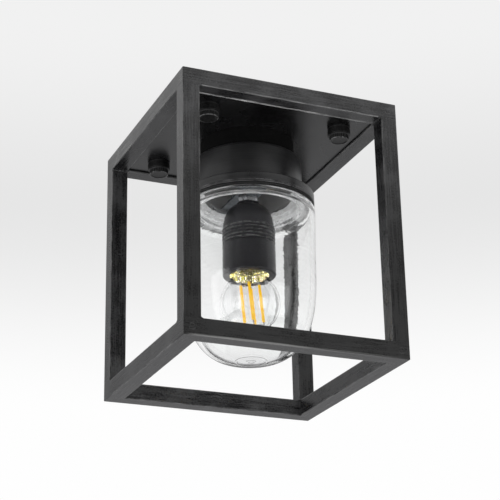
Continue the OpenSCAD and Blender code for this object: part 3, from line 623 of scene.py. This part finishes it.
# Painted highlight: a lighter broken rim round the nut's end face.
rim = (z * -1.0).step(WASHER_Z + NUT_H - 0.5, WASHER_Z + NUT_H - 0.3)
rim = rim * off_axis.step(GRIP_R - 0.9, GRIP_R - 0.5)
# Painted highlights: the knurl crests are lighter than the grooves.
crest_highlights = off_axis.step(GRIP_R - 0.22, GRIP_R - 0.04)
crest_highlights = crest_highlights * (1.0 - off_axis.step(GRIP_R + 0.1, GRIP_R + 0.2))
nut_moulding.cover(crest_highlights * (1.0 - rim), (0.045, 0.045, 0.045, 1))
nut_moulding.cover(rim * speck.step(0.4, 0.6) * 0.6, (0.3, 0.3, 0.3, 1))
nut_moulding.bump(speck, 0.00003, 0.4)
washer_paint = Finish("washer_black", {"Specular IOR Level": 0.5})
washer_paint.speckle((0.006, 0.006, 0.006, 1), (0.018, 0.018, 0.018, 1), 500.0, 0.35, 0.2)
for corner, (sx, sy) in CORNERS.items():
    x, y = sx * STUD_AT, sy * STUD_AT
    mesh = grids_to_mesh("washer", [(turned(washer_profile, 64, x, y), True)])
    make_piece("washer_disc_" + corner, mesh, washer_paint.material, "washer_body_" + corner,
               "nut_black", "washer_" + corner)
    nut = turned(nut_profile, NUT_COLUMNS, x, y, nut_dents)
    mesh = grids_to_mesh("nut", [(nut, True)], sharp=50)
    make_piece("nut_knurled_" + corner, mesh, nut_moulding.material, "nut_body_" + corner,
               "nut_black", "thumb_nut_" + corner)


# Spacer tube, canister and jar ring. A tube holds the spun canister off the plate, and three
# screws hold the turned ring to its foot. Satin black outside, with a fine groove near the ring's
# lower edge and painted highlights along it. The spacer is darker and matt, as painted shade.
# The canister is light grey inside, and the ring's threaded bore is bare metal.

NECK_R = 36.0
NECK_WALL = 2.0
CAN_Z = 26.0
CAN_R = 41.5
CAN_WALL = 1.5
CAN_EDGE = 2.5
RING_Z = 54.5
RING_R = 50.5
RING_HOLE_R = 33.0
WEB_Z = 56.6
RING_BORE_R = 43.05
RING_END_Z = 62.5
RING_TURNS = 0.72
RING_COLUMNS = 288
BORE_ROWS = 60
GROOVE_Z = 60.85
SHOULDER_Z = 64.3
JAR_NECK_R = 40.95
JAR_PITCH = 5.0
RIDGE_ROOT = 2.4
RIDGE_CREST = 1.3
JAR_RIDGE_Z = SHOULDER_Z - RIDGE_ROOT / 2 - 0.2


def ridge(turn, z, start_z, start_turn, turns, pitch, root_w, crest_w):
    """Height from 0 to 1 of a helical ridge at a turn angle and a height z. Turns up from the
    ridge's start, less the angle's share of a turn, leave a fraction within half a turn, which
    times the pitch is the distance to the nearest turn of the ridge. The height falls from crest
    to root over the flank, and fades out over an eighth of a turn at both ends."""
    up = (z + start_z) / pitch
    share = up - turn / (2 * np.pi) + start_turn
    fraction = (share + 0.5) % 1.0 - 0.5
    distance = np.abs(fraction) * pitch
    flank = np.clip((root_w / 2 - distance) / ((root_w - crest_w) / 2), 0, 1)
    along = up - fraction
    fade = np.clip(np.minimum(along, turns - along) * 8 + 0.5, 0, 1)
    return flank * flank * (3 - 2 * flank) * fade


def painted_round(name, low, high, roughness):
    """Satin paint on turned metal, with faint rings that the tool left."""
    finish = Finish(name, {"Specular IOR Level": 0.5})
    rings = finish.noise(finish.stretched((6, 6, 900)), 1.0, 2.0)
    cloud = finish.noise(finish.place(), 40.0, 3.0)
    finish.set({
        "Base Color": finish.mix((rings * 0.5 + cloud * 0.5).step(0.38, 0.62), low, high),
        "Roughness": cloud.step(0.3, 0.7) * 0.1 + roughness})
    return finish.bump(rings, 0.00002, 0.5)


can_paint = painted_round(
    "canister_paint", (0.009, 0.009, 0.0095, 1), (0.017, 0.017, 0.0175, 1), 0.28)
x, y, z = can_paint.place_mm()
inside = 1.0 - x.reach(y).step(CAN_R - 0.9, CAN_R - 0.6)
inside = inside * (1.0 - (z + CAN_Z + CAN_WALL / 2).step(-0.2, 0.2))
can_paint.cover(inside, (0.5, 0.5, 0.505, 1))
ring_paint = painted_round("ring_paint", (0.008, 0.008, 0.0085, 1), (0.02, 0.02, 0.0205, 1), 0.26)
x, y, z = ring_paint.place_mm()
from_axis = x.reach(y)
# Painted highlights: lighter broken lines along the groove's edges and the ring's lower edge.
off_line = (z + GROOVE_Z - 0.3).size()
for line_z in (GROOVE_Z + 0.35, RING_END_Z - 0.2):
    off_line = off_line.least((z + line_z).size())
dashed = ring_paint.noise(ring_paint.place(), 90.0, 3.0).step(0.4, 0.6)
groove_highlights = (1.0 - off_line.step(0.03, 0.12)) * from_axis.step(RING_R - 0.8, RING_R - 0.4) * dashed
ring_paint.cover(groove_highlights, (0.22, 0.22, 0.22, 1))
bore = 1.0 - from_axis.step(RING_BORE_R + 0.1, RING_BORE_R + 0.4)
streaks = ring_paint.noise(ring_paint.place(), 700.0, 3.0).step(0.3, 0.7)
ring_paint.cover(bore, ring_paint.mix(streaks, (0.6, 0.6, 0.6, 1), (0.85, 0.85, 0.85, 1)))
ring_paint.set({"Metallic": bore})
# The spacer's black paint is made darker and more matt than the canister's, as painted shade
# between plate and canister.
spacer_shade_paint = Finish("spacer_painted_shade", {"Specular IOR Level": 0.12})
spacer_shade_paint.speckle((0.001, 0.001, 0.001, 1), (0.003, 0.003, 0.003, 1), 300.0, 0.75, 0.1)

neck_profile = closed(soft_outline([
    (NECK_R - NECK_WALL, -PLATE_Z), (NECK_R, -PLATE_Z), (NECK_R, -CAN_Z),
    (NECK_R - NECK_WALL, -CAN_Z)], 3))
mesh = grids_to_mesh("neck", [(turned(neck_profile, 128), True)])
make_piece("neck_tube", mesh, spacer_shade_paint.material, BODY, "canister_grey", "neck_spacer")

can_profile = closed(soft_outline([
    (ROD_HOLE_R, -CAN_Z), (CAN_R, -CAN_Z, CAN_EDGE), (CAN_R, -RING_Z, 0.5), (RING_HOLE_R, -RING_Z),
    (RING_HOLE_R, CAN_WALL - RING_Z), (CAN_R - CAN_WALL, CAN_WALL - RING_Z, 0.5),
    (CAN_R - CAN_WALL, -CAN_Z - CAN_WALL, CAN_EDGE - CAN_WALL),
    (ROD_HOLE_R, -CAN_Z - CAN_WALL)], 8))
mesh = grids_to_mesh("canister", [(turned(can_profile, 256), True)])
make_piece("canister_cup", mesh, can_paint.material, BODY, "canister_grey", "canister")

bore_z = np.linspace(-RING_END_Z + 0.35, -WEB_Z - 0.05, BORE_ROWS)
ring_profile = np.concatenate([
    soft_outline([(RING_BORE_R, -WEB_Z), (RING_HOLE_R, -WEB_Z), (RING_HOLE_R, -RING_Z),
                  (RING_R, -RING_Z, 0.9), (RING_R, -GROOVE_Z + 0.25), (RING_R - 0.3, -GROOVE_Z),
                  (RING_R, -GROOVE_Z - 0.25), (RING_R, -RING_END_Z, 0.5),
                  (RING_BORE_R + 0.3, -RING_END_Z)], 5),
    np.stack([np.full(BORE_ROWS, RING_BORE_R), bore_z], axis=1), [[RING_BORE_R, -WEB_Z]]])
ring_turn = np.linspace(0, 2 * np.pi, RING_COLUMNS, endpoint=False)
ring_ridge_z = RING_END_Z - RIDGE_ROOT / 2
ring_start = (JAR_RIDGE_Z - ring_ridge_z) / JAR_PITCH - 0.5
ring_rises = ridge(ring_turn[None, :], ring_profile[:, 1:2], ring_ridge_z, ring_start, RING_TURNS,
                   JAR_PITCH, RIDGE_ROOT, RIDGE_CREST)
in_bore = (np.abs(ring_profile[:, 0] - RING_BORE_R) < 1e-6)[:, None]
ring_dents = ring_rises * in_bore * (RING_BORE_R - JAR_NECK_R - 0.4)
mesh = grids_to_mesh("ring", [(turned(ring_profile, RING_COLUMNS, dents=ring_dents), True)])
make_piece("ring_turned", mesh, ring_paint.material, BODY, "canister_grey", "jar_ring")


# Inside the canister and above it: hollow M10 rods with hexagon nuts, the strap that carries the
# lamp holder, screws, and the terminal block with its leads. Zinc-plated steel, brass screws and
# terminals, a pale moulded block and soft plastic over the wires.

ROD_R = 5.0
ROD_BORE_R = 3.7
ROD_THREAD_D = 0.6
ROD_PITCH = 1.0


def rod_mesh(name, top_z, end_z):
    """Hollow rod whose outside is a thread: at angle a and height z its depth is half of one plus
    the cosine of 2 pi z / pitch less a, times the thread's full depth."""
    rows = int((end_z - top_z) / ROD_PITCH * 8)
    z = -np.linspace(top_z, end_z, rows)
    outside = np.stack([np.full(rows, ROD_R), z], axis=1)
    inside = np.array([[ROD_BORE_R, -end_z], [ROD_BORE_R, -top_z], [ROD_R, -top_z]])
    profile = np.concatenate([outside, inside])
    turn = np.linspace(0, 2 * np.pi, 48, endpoint=False)
    wave = 0.5 + 0.5 * np.cos(2 * np.pi * profile[:, 1:2] / ROD_PITCH - turn[None, :])
    dents = wave * ROD_THREAD_D * (profile[:, :1] > ROD_BORE_R)
    return grids_to_mesh(name, [(turned(profile, 48, dents=dents), True)], sharp=60)


for name, top_z, end_z, node in (
        ("rod_above", 5.5, 32.5, "upper_rod"), ("rod_below", 47.5, 68.0, "lower_rod")):
    make_piece(name, rod_mesh(name, top_z, end_z), bright_zinc, BODY, "rod_steel", node)
dull_zinc = plated("zinc_dulled", (0.1, 0.11, 0.12, 1), (0.24, 0.26, 0.28, 1), 200.0, 0.4)
dress(dull_zinc, "holder_strap")
dress(bright_zinc, "upper_rod_nuts", "lower_rod_nuts", "ring_screw_set", "strap_screws")
dress(brass, "terminal_screws", "earth_screw", "holder_terminals", "centre_contact")

block_moulding = Finish("terminal_moulding", {"Specular IOR Level": 0.5})
block_moulding.speckle((0.66, 0.63, 0.54, 1), (0.76, 0.74, 0.66, 1), 300.0, 0.4, 0.15)
dress(block_moulding.material, "terminal_block")


def insulation(name, low, high):
    """Soft plastic round a wire, with faint waves of colour."""
    finish = Finish(name, {"Specular IOR Level": 0.5})
    finish.speckle(low, high, 500.0, 0.36, 0.12)
    return finish


live_finish = insulation("lead_brown", (0.09, 0.035, 0.015, 1), (0.14, 0.06, 0.028, 1))
dress(live_finish.material, "live_lead")
neutral_finish = insulation("lead_blue", (0.02, 0.1, 0.36, 1), (0.04, 0.16, 0.5, 1))
dress(neutral_finish.material, "neutral_lead")
earth_finish = insulation("lead_earth", (0.05, 0.3, 0.04, 1), (0.08, 0.4, 0.06, 1))
stripe = earth_finish.place_mm()[1].step(0.25, 0.35)
earth_finish.set({
    "Base Color": earth_finish.mix(stripe, (0.06, 0.35, 0.05, 1), (0.78, 0.66, 0.04, 1))})
dress(earth_finish.material, "earth_lead")


# Lamp holder. A domed cap that screws onto the lower rod and a ribbed sleeve with a skirt, both of
# matt black thermoplastic, with painted highlights along the rib crests. Inside sits a ceramic
# insert with a pressed brass screw shell, which ends in a wider lip. The brass glows with painted
# light, gold with painted white and pink glints and dark specks, through the glass of the lamp's
# neck.

HOLDER_R = 20.0
HOLDER_Z = 60.0
SLEEVE_Z = 80.0
MOUTH_Z = 119.0
RIB_D = 0.8
RIB_PITCH = 2.7
RIBS = 5
HOLDER_WALL = 2.0
CAP_COLLAR_R = 9.0
CAP_COLLAR_H = 3.0
CAP_THREAD_H = 8.0
SLEEVE_BORE_R = 18.1
MOUTH_R = 15.0
MOUTH_LIP = 5.0
SHELL_R = 13.4
SHELL_END_Z = 110.9
LIP_R = 14.65
LIP_Z = 114.0
LIP_END_Z = 118.0
LIP_T = 0.3


def ellipse(r, z, across, up, start, end, steps):
    """Points (r + across cos a, z + up sin a) from angle start to angle end, in degrees."""
    a = np.radians(np.linspace(start, end, steps))
    return np.stack([r + across * np.cos(a), z + up * np.sin(a)], axis=1)


root_r = HOLDER_R - RIB_D
dome_r = root_r - CAP_COLLAR_R
dome_h = SLEEVE_Z - HOLDER_Z - CAP_COLLAR_H
rod_fit_r = ROD_R + 0.05
cap_profile = np.concatenate([
    soft_outline([(rod_fit_r, -HOLDER_Z - CAP_THREAD_H), (rod_fit_r, -HOLDER_Z),
                  (CAP_COLLAR_R, -HOLDER_Z, 0.6),
                  (CAP_COLLAR_R, -HOLDER_Z - CAP_COLLAR_H + 0.2)], 4),
    ellipse(CAP_COLLAR_R, -SLEEVE_Z, dome_r, dome_h, 90, 0, 28),
    ellipse(CAP_COLLAR_R - HOLDER_WALL, -SLEEVE_Z, dome_r, dome_h - HOLDER_WALL, 0, 90, 28),
    [[rod_fit_r, -HOLDER_Z - CAP_COLLAR_H - HOLDER_WALL], [rod_fit_r, -HOLDER_Z - CAP_THREAD_H]]])
rib_points = []
for i in range(RIBS):
    z = -SLEEVE_Z - 1 - i * RIB_PITCH
    rib_points += [(root_r, z, 0.2), (HOLDER_R, z - 0.3 * RIB_PITCH, 0.35),
                   (HOLDER_R, z - 0.6 * RIB_PITCH, 0.35), (root_r, z - 0.85 * RIB_PITCH, 0.2)]
skirt_z = -SLEEVE_Z - 1.5 - RIBS * RIB_PITCH
sleeve_profile = closed(soft_outline(
    [(SLEEVE_BORE_R, -SLEEVE_Z), (root_r, -SLEEVE_Z)] + rib_points + [
        (root_r, skirt_z + 0.4, 0.3), (HOLDER_R, skirt_z - 0.4, 0.4), (HOLDER_R, -MOUTH_Z, 1.4),
        (MOUTH_R, -MOUTH_Z, 0.5), (MOUTH_R, MOUTH_LIP - MOUTH_Z),
        (SLEEVE_BORE_R, MOUTH_LIP - MOUTH_Z)], 4))
moulding = Finish("holder_moulding", {"Specular IOR Level": 0.35})
speck = moulding.speckle((0.026, 0.025, 0.029, 1), (0.032, 0.031, 0.035, 1), 500.0, 0.3, 0.04)
x, y, z = moulding.place_mm()
# Painted highlights: light broken lines along the crests of the ribs.
crest = x.reach(y).step(HOLDER_R - 0.22, HOLDER_R - 0.08)
crest = crest * (z + SLEEVE_Z + 1.2 + RIBS * RIB_PITCH).step(0.0, 0.3)
rib_glints = moulding.noise(moulding.place(), 300.0, 3.0).step(0.35, 0.6)
moulding.cover(crest * rib_glints, (0.16, 0.16, 0.16, 1))
moulding.bump(speck, 0.000008, 0.4)
mesh = grids_to_mesh("holder_dome", [(turned(cap_profile, 128), True)])
make_piece("holder_dome", mesh, moulding.material, BODY, "holder_black", "holder_cap")
mesh = grids_to_mesh("holder_skirt", [(turned(sleeve_profile, 128), True)])
make_piece("holder_skirt", mesh, moulding.material, BODY, "holder_black", "holder_sleeve")
ceramic = Finish("insert_ceramic", {"Specular IOR Level": 0.5})
speck = ceramic.speckle((0.72, 0.7, 0.64, 1), (0.82, 0.81, 0.76, 1), 240.0, 0.45, 0.2)
ceramic.bump(speck, 0.00003, 0.4)
dress(ceramic.material, "holder_insert")
# Painted glow: the brass shell and its lip emit gold light, with painted white and pink glints and
# dark specks.
glowing_brass = Finish("shell_brass_glow", {"Metallic": 0.85, "Emission Strength": 1.2})
crumple = glowing_brass.noise(glowing_brass.place(), 700.0, 3.0, 0.75)
glow = glowing_brass.noise(glowing_brass.place(), 260.0, 2.0)
painted_glints = glowing_brass.mix(
    (crumple * 0.7 + glow * 0.3).step(0.42, 0.58), (0.1, 0.1, 0.004, 1), (0.8, 0.76, 0.16, 1))
for scale, detail, low, high, colour in (
        (420.0, 2.0, 0.55, 0.6, (0.02, 0.02, 0.005, 1)),
        (560.0, 1.0, 0.6, 0.64, (0.75, 0.42, 0.4, 1)),
        (850.0, 1.0, 0.58, 0.62, (2.0, 2.0, 1.8, 1))):
    painted_glints = glowing_brass.mix(glowing_brass.noise(glowing_brass.place(), scale, detail).step(low, high), painted_glints, colour)
glowing_brass.set({
    "Base Color": glowing_brass.mix(glow.step(0.35, 0.65), (0.4, 0.36, 0.05, 1), (0.86, 0.74, 0.22, 1)),
    "Emission Color": painted_glints,
    "Roughness": crumple.step(0.3, 0.7) * 0.2 + 0.12})
glowing_brass.bump(crumple, 0.0005, 1.0)
dress(glowing_brass.material, "screw_shell")
lip_outside = np.array([
    (SHELL_R, -SHELL_END_Z), (LIP_R - 0.15, 0.6 - LIP_Z), (LIP_R, -LIP_Z), (LIP_R, -LIP_END_Z)])
lip_inside = lip_outside[::-1] - ((LIP_T, 0), (LIP_T, 0.1), (LIP_T, 0.1), (LIP_T, 0))
lip_profile = closed(np.concatenate([lip_outside, lip_inside]))
mesh = grids_to_mesh("shell_lip", [(turned(lip_profile, 96), True)])
make_piece("shell_lip", mesh, glowing_brass.material, BODY, "terminal_brass")


# Lamp. A rolled metal cap with its thread, black glass insulator and solder contact, a blown
# clear globe on a straight neck, and a glass stem that carries four coated filament rods between
# a wire star above and one below.

LAMP_THREAD_R = 13.05
LAMP_ROOT_R = 12.15
LAMP_PITCH = 3.629
LAMP_TURNS = 4.25
LAMP_RIDGE_ROOT = 2.6
LAMP_RIDGE_CREST = 0.5
LAMP_ROWS = 90
LAMP_COLUMNS = 144
LAMP_CAP_Z = 90.4
LAMP_CAP_END_Z = 112.9
LAMP_RIDGE_Z = 109.7
INSULATOR_R = 9.5
NECK_GLASS_R = 11.65
LAMP_NECK_Z = 105.9
GLOBE_R = 22.5
GLOBE_Z = 140.3
GLOBE_WALL = 0.8
STEM_R = 10.8
FILAMENT_AT = 7.0
FILAMENT_LEN = 32.0
FILAMENT_R = 1.1
WIRE_R = 0.32
CLIP_R = 0.55
CLIP_H = 1.8
LEAN = 0.09

cap_rows = np.linspace(-LAMP_CAP_Z - 2.2, -LAMP_CAP_END_Z + 0.2, LAMP_ROWS)
lamp_cap_profile = closed(np.concatenate([
    soft_outline([(NECK_GLASS_R, -LAMP_CAP_Z - 2), (8.0, -LAMP_CAP_Z - 1.0),
                  (INSULATOR_R - 0.3, -LAMP_CAP_Z), (LAMP_ROOT_R, -LAMP_CAP_Z - 2, 0.6),
                  (LAMP_ROOT_R, -LAMP_CAP_Z - 2.15)], 5),
    np.stack([np.full(LAMP_ROWS, LAMP_ROOT_R), cap_rows], axis=1),
    [[LAMP_ROOT_R - 0.1, -LAMP_CAP_END_Z], [NECK_GLASS_R, -LAMP_CAP_END_Z]]]))
cap_turn = np.linspace(0, 2 * np.pi, LAMP_COLUMNS, endpoint=False)
cap_rises = ridge(cap_turn[None, :], lamp_cap_profile[:, 1:2], LAMP_RIDGE_Z, 0.0, LAMP_TURNS,
                  LAMP_PITCH, LAMP_RIDGE_ROOT, LAMP_RIDGE_CREST)
cap_rises = cap_rises * (np.abs(lamp_cap_profile[:, :1] - LAMP_ROOT_R) < 1e-6)
lamp_cap = turned(
    lamp_cap_profile, LAMP_COLUMNS, dents=-cap_rises * (LAMP_THREAD_R - LAMP_ROOT_R))
mesh = grids_to_mesh("lamp_cap", [(lamp_cap, True)], sharp=60)
cap_metal = plated("cap_metal", (0.66, 0.65, 0.62, 1), (0.78, 0.77, 0.74, 1), 420.0, 0.2)
make_piece("lamp_cap_rolled", mesh, cap_metal, "lamp_body", "cap_metal", "lamp_cap")
dress(cap_metal, "lamp_contact")
insulator = Finish("insulator_glass", {"Specular IOR Level": 0.5})
insulator.speckle((0.008, 0.008, 0.009, 1), (0.02, 0.02, 0.022, 1), 400.0, 0.1, 0.08)
dress(insulator.material, "lamp_insulator")


def globe_outline(inset):
    """Neck, then a cubic whose ends have the neck's and the sphere's slope, then the sphere from
    0.62 of its radius above the centre down to the end."""
    r = GLOBE_R - inset
    join_at = 0.62 * r
    join_r = np.sqrt(r * r - join_at * join_at)
    z0 = -LAMP_CAP_END_Z
    run = z0 - (join_at - GLOBE_Z)
    r0 = NECK_GLASS_R - inset
    slope = join_at / join_r * run
    t = np.linspace(0, 1, 24)
    neck_r = r0 + (join_r - r0) * t * t * (3 - 2 * t) + slope * t * t * (t - 1)
    neck = np.stack([neck_r, z0 - run * t], axis=1)
    a = np.linspace(np.arcsin(join_at / r), -np.pi / 2, 60)[1:]
    ball = np.stack([np.maximum(r * np.cos(a), 0), r * np.sin(a) - GLOBE_Z], axis=1)
    return np.concatenate([[[r0, -LAMP_NECK_Z]], neck, ball])


globe_profile = np.concatenate([globe_outline(0.0), globe_outline(GLOBE_WALL)[::-1]])
mesh = grids_to_mesh("globe", [(turned(closed(globe_profile), 160), True)])
clear = {"Transmission Weight": 1.0, "IOR": 1.5, "Roughness": 0.0}
globe_finish = Finish("globe_clear", clear)
swell = globe_finish.noise(globe_finish.place(), 60.0, 1.5)
globe_finish.set({"Base Color": globe_finish.mix(
    swell.step(0.3, 0.7), (0.98, 0.985, 0.985, 1), (1, 1, 1, 1))})
globe_glass = globe_finish.bump(swell, 0.00002, 0.5).material
make_piece("globe_blown", mesh, globe_glass, "lamp_body", "globe_glass", "lamp_globe")
star_top = -GLOBE_Z + FILAMENT_LEN / 2 + 0.8
stem_profile = soft_outline([
    (0, -LAMP_NECK_Z), (STEM_R, -LAMP_NECK_Z), (STEM_R, -LAMP_NECK_Z - 1, 0.5),
    (3.0, -LAMP_NECK_Z - 5, 3.0), (2.0, star_top, 0.8), (0, star_top)], 6)
mesh = grids_to_mesh("stem", [(turned(stem_profile, 64), True)])
make_piece("stem_glass", mesh, globe_glass, "lamp_body", "globe_glass", "lamp_stem")


def leaned(grid):
    """The grid sheared by LEAN times the depth below the upper star, towards azimuth -23 degrees,
    because the wires that hold the filaments are soft and let them lean."""
    drop = (star_top - grid[..., 2:3]) * LEAN
    return grid + drop * np.array([0.92, -0.39, 0.0])


rods = []
wires = []
half_len = FILAMENT_LEN / 2
rod_profile = soft_outline([
    (0, -GLOBE_Z + half_len - 1.2), (FILAMENT_R, -GLOBE_Z + half_len - 1.2, 0.4),
    (FILAMENT_R, -GLOBE_Z - half_len + 1.2, 0.4), (0, -GLOBE_Z - half_len + 1.2)], 4)
clip_profile = np.array([(0, CLIP_H), (CLIP_R, CLIP_H), (CLIP_R, 0.0), (0, 0.0)])
run = np.linspace(0, 1, 8)[:, None]
wire_turn = np.linspace(0, 2 * np.pi, 10, endpoint=False)[None, :]
star_end = -GLOBE_Z - half_len - 0.4
for i in range(4):
    angle = np.radians(90 * i - 29)
    cos, sin = np.cos(angle), np.sin(angle)
    x, y = FILAMENT_AT * cos, FILAMENT_AT * sin
    rods.append((leaned(turned(rod_profile, 24, x, y)), True))
    for z in (-GLOBE_Z + half_len - 1.4, star_end):
        wires.append((leaned(turned(clip_profile + (0, z), 12, x, y)), True))
    for z in (star_top - 0.4, star_end):
        along = run * (FILAMENT_AT + 0.3)
        side = WIRE_R * np.cos(wire_turn)
        wires.append((leaned(np.stack([
            along * cos - side * sin, along * sin + side * cos,
            z + WIRE_R * np.sin(wire_turn) + 0 * along], axis=-1)), True))
# Painted glow: the unlit filament coating emits yellow-orange light of its own.
glowing_coating = Finish("filament_coating_glow", {"Specular IOR Level": 0.3, "Emission Strength": 0.75})
speck = glowing_coating.speckle((0.92, 0.5, 0.01, 1), (1.0, 0.62, 0.02, 1), 900.0, 0.3, 0.1)
glowing_coating.set({"Emission Color": glowing_coating.mix(
    speck.step(0.3, 0.7), (0.95, 0.5, 0.008, 1), (1.0, 0.62, 0.02, 1))})
mesh = grids_to_mesh("filaments", rods)
make_piece("filament_rods", mesh, glowing_coating.material, "lamp_body", "filament_yellow",
           "lamp_filaments")
mesh = grids_to_mesh("filament_wires", wires)
make_piece("filament_wires", mesh, bright_zinc, "lamp_body", "filament_yellow")


# Glass jar and gasket. Clear moulded glass with a threaded neck, a sharp shoulder on which the
# rubber gasket lies, straight sides and a bottom that is rounded like a squared ellipse. The
# thread and the shoulder's land carry streaks of frosting with a painted glow, which stands in
# for light reflected inside the shoulder, and the bottom has two fine mould rings.

JAR_R = 51.0
JAR_TAPER = 1.0
JAR_WALL = 3.5
JAR_EDGE = 4.0
JAR_END_Z = 185.3
JAR_ROUND_H = 78.0
JAR_POWER = 3.0
JAR_NECK_Z = 57.1
JAR_NECK_WALL = 3.2
JAR_THREAD_R = 42.25
JAR_TURNS = 0.92
JAR_COLUMNS = 320
NECK_ROWS = 80
GASKET_R = 50.0


def jar_side(inset, low_z):
    """Side and bottom: r = R cos(a) to 2/p and z = H sin(a) to 2/p, which is an ellipse squared
    by the power p. The angle's steps are finer towards both ends."""
    r = JAR_R - inset - JAR_TAPER
    a = np.pi / 4 * (1 - np.cos(np.linspace(0, np.pi, 90)))
    side_r = r * np.cos(a).clip(0) ** (2 / JAR_POWER)
    side_z = low_z - (JAR_ROUND_H - inset) * np.sin(a) ** (2 / JAR_POWER)
    return np.stack([side_r, side_z], axis=1)


round_z = -JAR_END_Z + JAR_ROUND_H
neck_z = np.linspace(-JAR_NECK_Z - 0.5, -SHOULDER_Z + 0.5, NECK_ROWS)
neck_bore_r = JAR_NECK_R - JAR_NECK_WALL
inner_r = JAR_R - JAR_WALL
jar_profile = np.concatenate([
    soft_outline([(neck_bore_r, -JAR_NECK_Z - 2), (neck_bore_r, -JAR_NECK_Z, 1.0),
                  (JAR_NECK_R, -JAR_NECK_Z, 0.5), (JAR_NECK_R, -JAR_NECK_Z - 0.5)], 5),
    np.stack([np.full(NECK_ROWS, JAR_NECK_R), neck_z], axis=1),
    soft_outline([(JAR_NECK_R, -SHOULDER_Z + 0.4), (JAR_NECK_R, -SHOULDER_Z, 0.35),
                  (JAR_R, -SHOULDER_Z, JAR_EDGE), (JAR_R, -SHOULDER_Z - JAR_EDGE - 0.5)], 10),
    jar_side(0.0, round_z),
    jar_side(JAR_WALL, round_z)[::-1],
    soft_outline([(inner_r, -SHOULDER_Z - JAR_WALL - JAR_EDGE - 0.5),
                  (inner_r, -SHOULDER_Z - JAR_WALL, JAR_EDGE),
                  (neck_bore_r, -SHOULDER_Z - JAR_WALL, 1.8), (neck_bore_r, -JAR_NECK_Z - 2)], 10)])
jar_turn = np.linspace(0, 2 * np.pi, JAR_COLUMNS, endpoint=False)
jar_rises = ridge(jar_turn[None, :], jar_profile[:, 1:2], JAR_RIDGE_Z, 0.0, JAR_TURNS, JAR_PITCH,
                  RIDGE_ROOT, RIDGE_CREST)
on_neck = (np.abs(jar_profile[:, 0] - JAR_NECK_R) < 1e-6) & (jar_profile[:, 1] > -SHOULDER_Z + 0.45)
jar_dents = -jar_rises * on_neck[:, None] * (JAR_THREAD_R - JAR_NECK_R)
mesh = grids_to_mesh("jar", [(turned(jar_profile, JAR_COLUMNS, dents=jar_dents), True)])
jar_finish = Finish("jar_clear", clear)
swell = jar_finish.noise(jar_finish.place(), 22.0, 1.5)
ripple = jar_finish.noise(jar_finish.stretched((150.0, 150.0, 420.0)), 1.0, 2.0)
jar_finish.set({"Base Color": jar_finish.mix(
    swell.step(0.3, 0.7), (0.975, 0.985, 0.982, 1), (1, 1, 1, 1))})
x, y, z = jar_finish.place_mm()
depth = z * -1.0
from_axis = x.reach(y)
wall = 1.0 - depth.step(JAR_END_Z - 20.0, JAR_END_Z - 5.0)
mark = (from_axis - 3.0).size().least((from_axis - 11.0).size())
mark = (1.0 - mark.step(0.2, 1.2)) * depth.step(JAR_END_Z - 1.5, JAR_END_Z - 0.8)
jar_finish.bump(swell + ripple * wall * 1.4 + mark * 2.5, 0.00006, 0.5)
on_land = (1.0 - depth.step(SHOULDER_Z + 1.5, SHOULDER_Z + 2.5)) * from_axis.step(
    JAR_NECK_R - 0.2, JAR_NECK_R + 0.6) * (1.0 - from_axis.step(JAR_R - 2.4, JAR_R - 1.6))
on_thread = (1.0 - depth.step(SHOULDER_Z - 0.3, SHOULDER_Z + 0.2)) * 0.42
# Frosting with a painted glow: a rough, white, faintly emitting finish on the land and thread
# stands in for light reflected inside the glass.
glint_arcs = jar_finish.noise(jar_finish.stretched((60, 60, 700)), 1.0, 3.0, 0.6)
frosted_glow = jar_finish.add("ShaderNodeBsdfPrincipled", {}, {
    "Base Color": (0.9, 0.91, 0.92, 1.0), "Roughness": 0.6, "Emission Color": (1.0, 1.0, 1.0, 1.0),
    "Emission Strength": 0.45})
share = on_land * (glint_arcs.step(0.36, 0.6) * 0.2 + 0.05) + on_thread * glint_arcs.step(0.4, 0.6)
both = jar_finish.add("ShaderNodeMixShader", {}, {
    0: share, 1: Value(jar_finish, jar_finish.shader.outputs[0]), 2: frosted_glow})
jar_finish.feed(jar_finish.nodes["Material Output"].inputs["Surface"], both)
make_piece("jar_moulded", mesh, jar_finish.material, "jar_body", "jar_glass", "glass_jar")

gasket_low = -SHOULDER_Z + 0.08
gasket_profile = closed(soft_outline([
    (RING_BORE_R, -RING_END_Z), (GASKET_R, -RING_END_Z, 0.5), (GASKET_R, gasket_low, 0.5),
    (RING_BORE_R, gasket_low)], 4))
mesh = grids_to_mesh("gasket", [(turned(gasket_profile, 160), True)])
gasket = Finish("gasket_black", {"Specular IOR Level": 0.3})
gasket.speckle((0.008, 0.008, 0.008, 1), (0.016, 0.016, 0.016, 1), 500.0, 0.6, 0.15)
make_piece("gasket_ring", mesh, gasket.material, "gasket_body", "gasket_rubber", "jar_gasket")
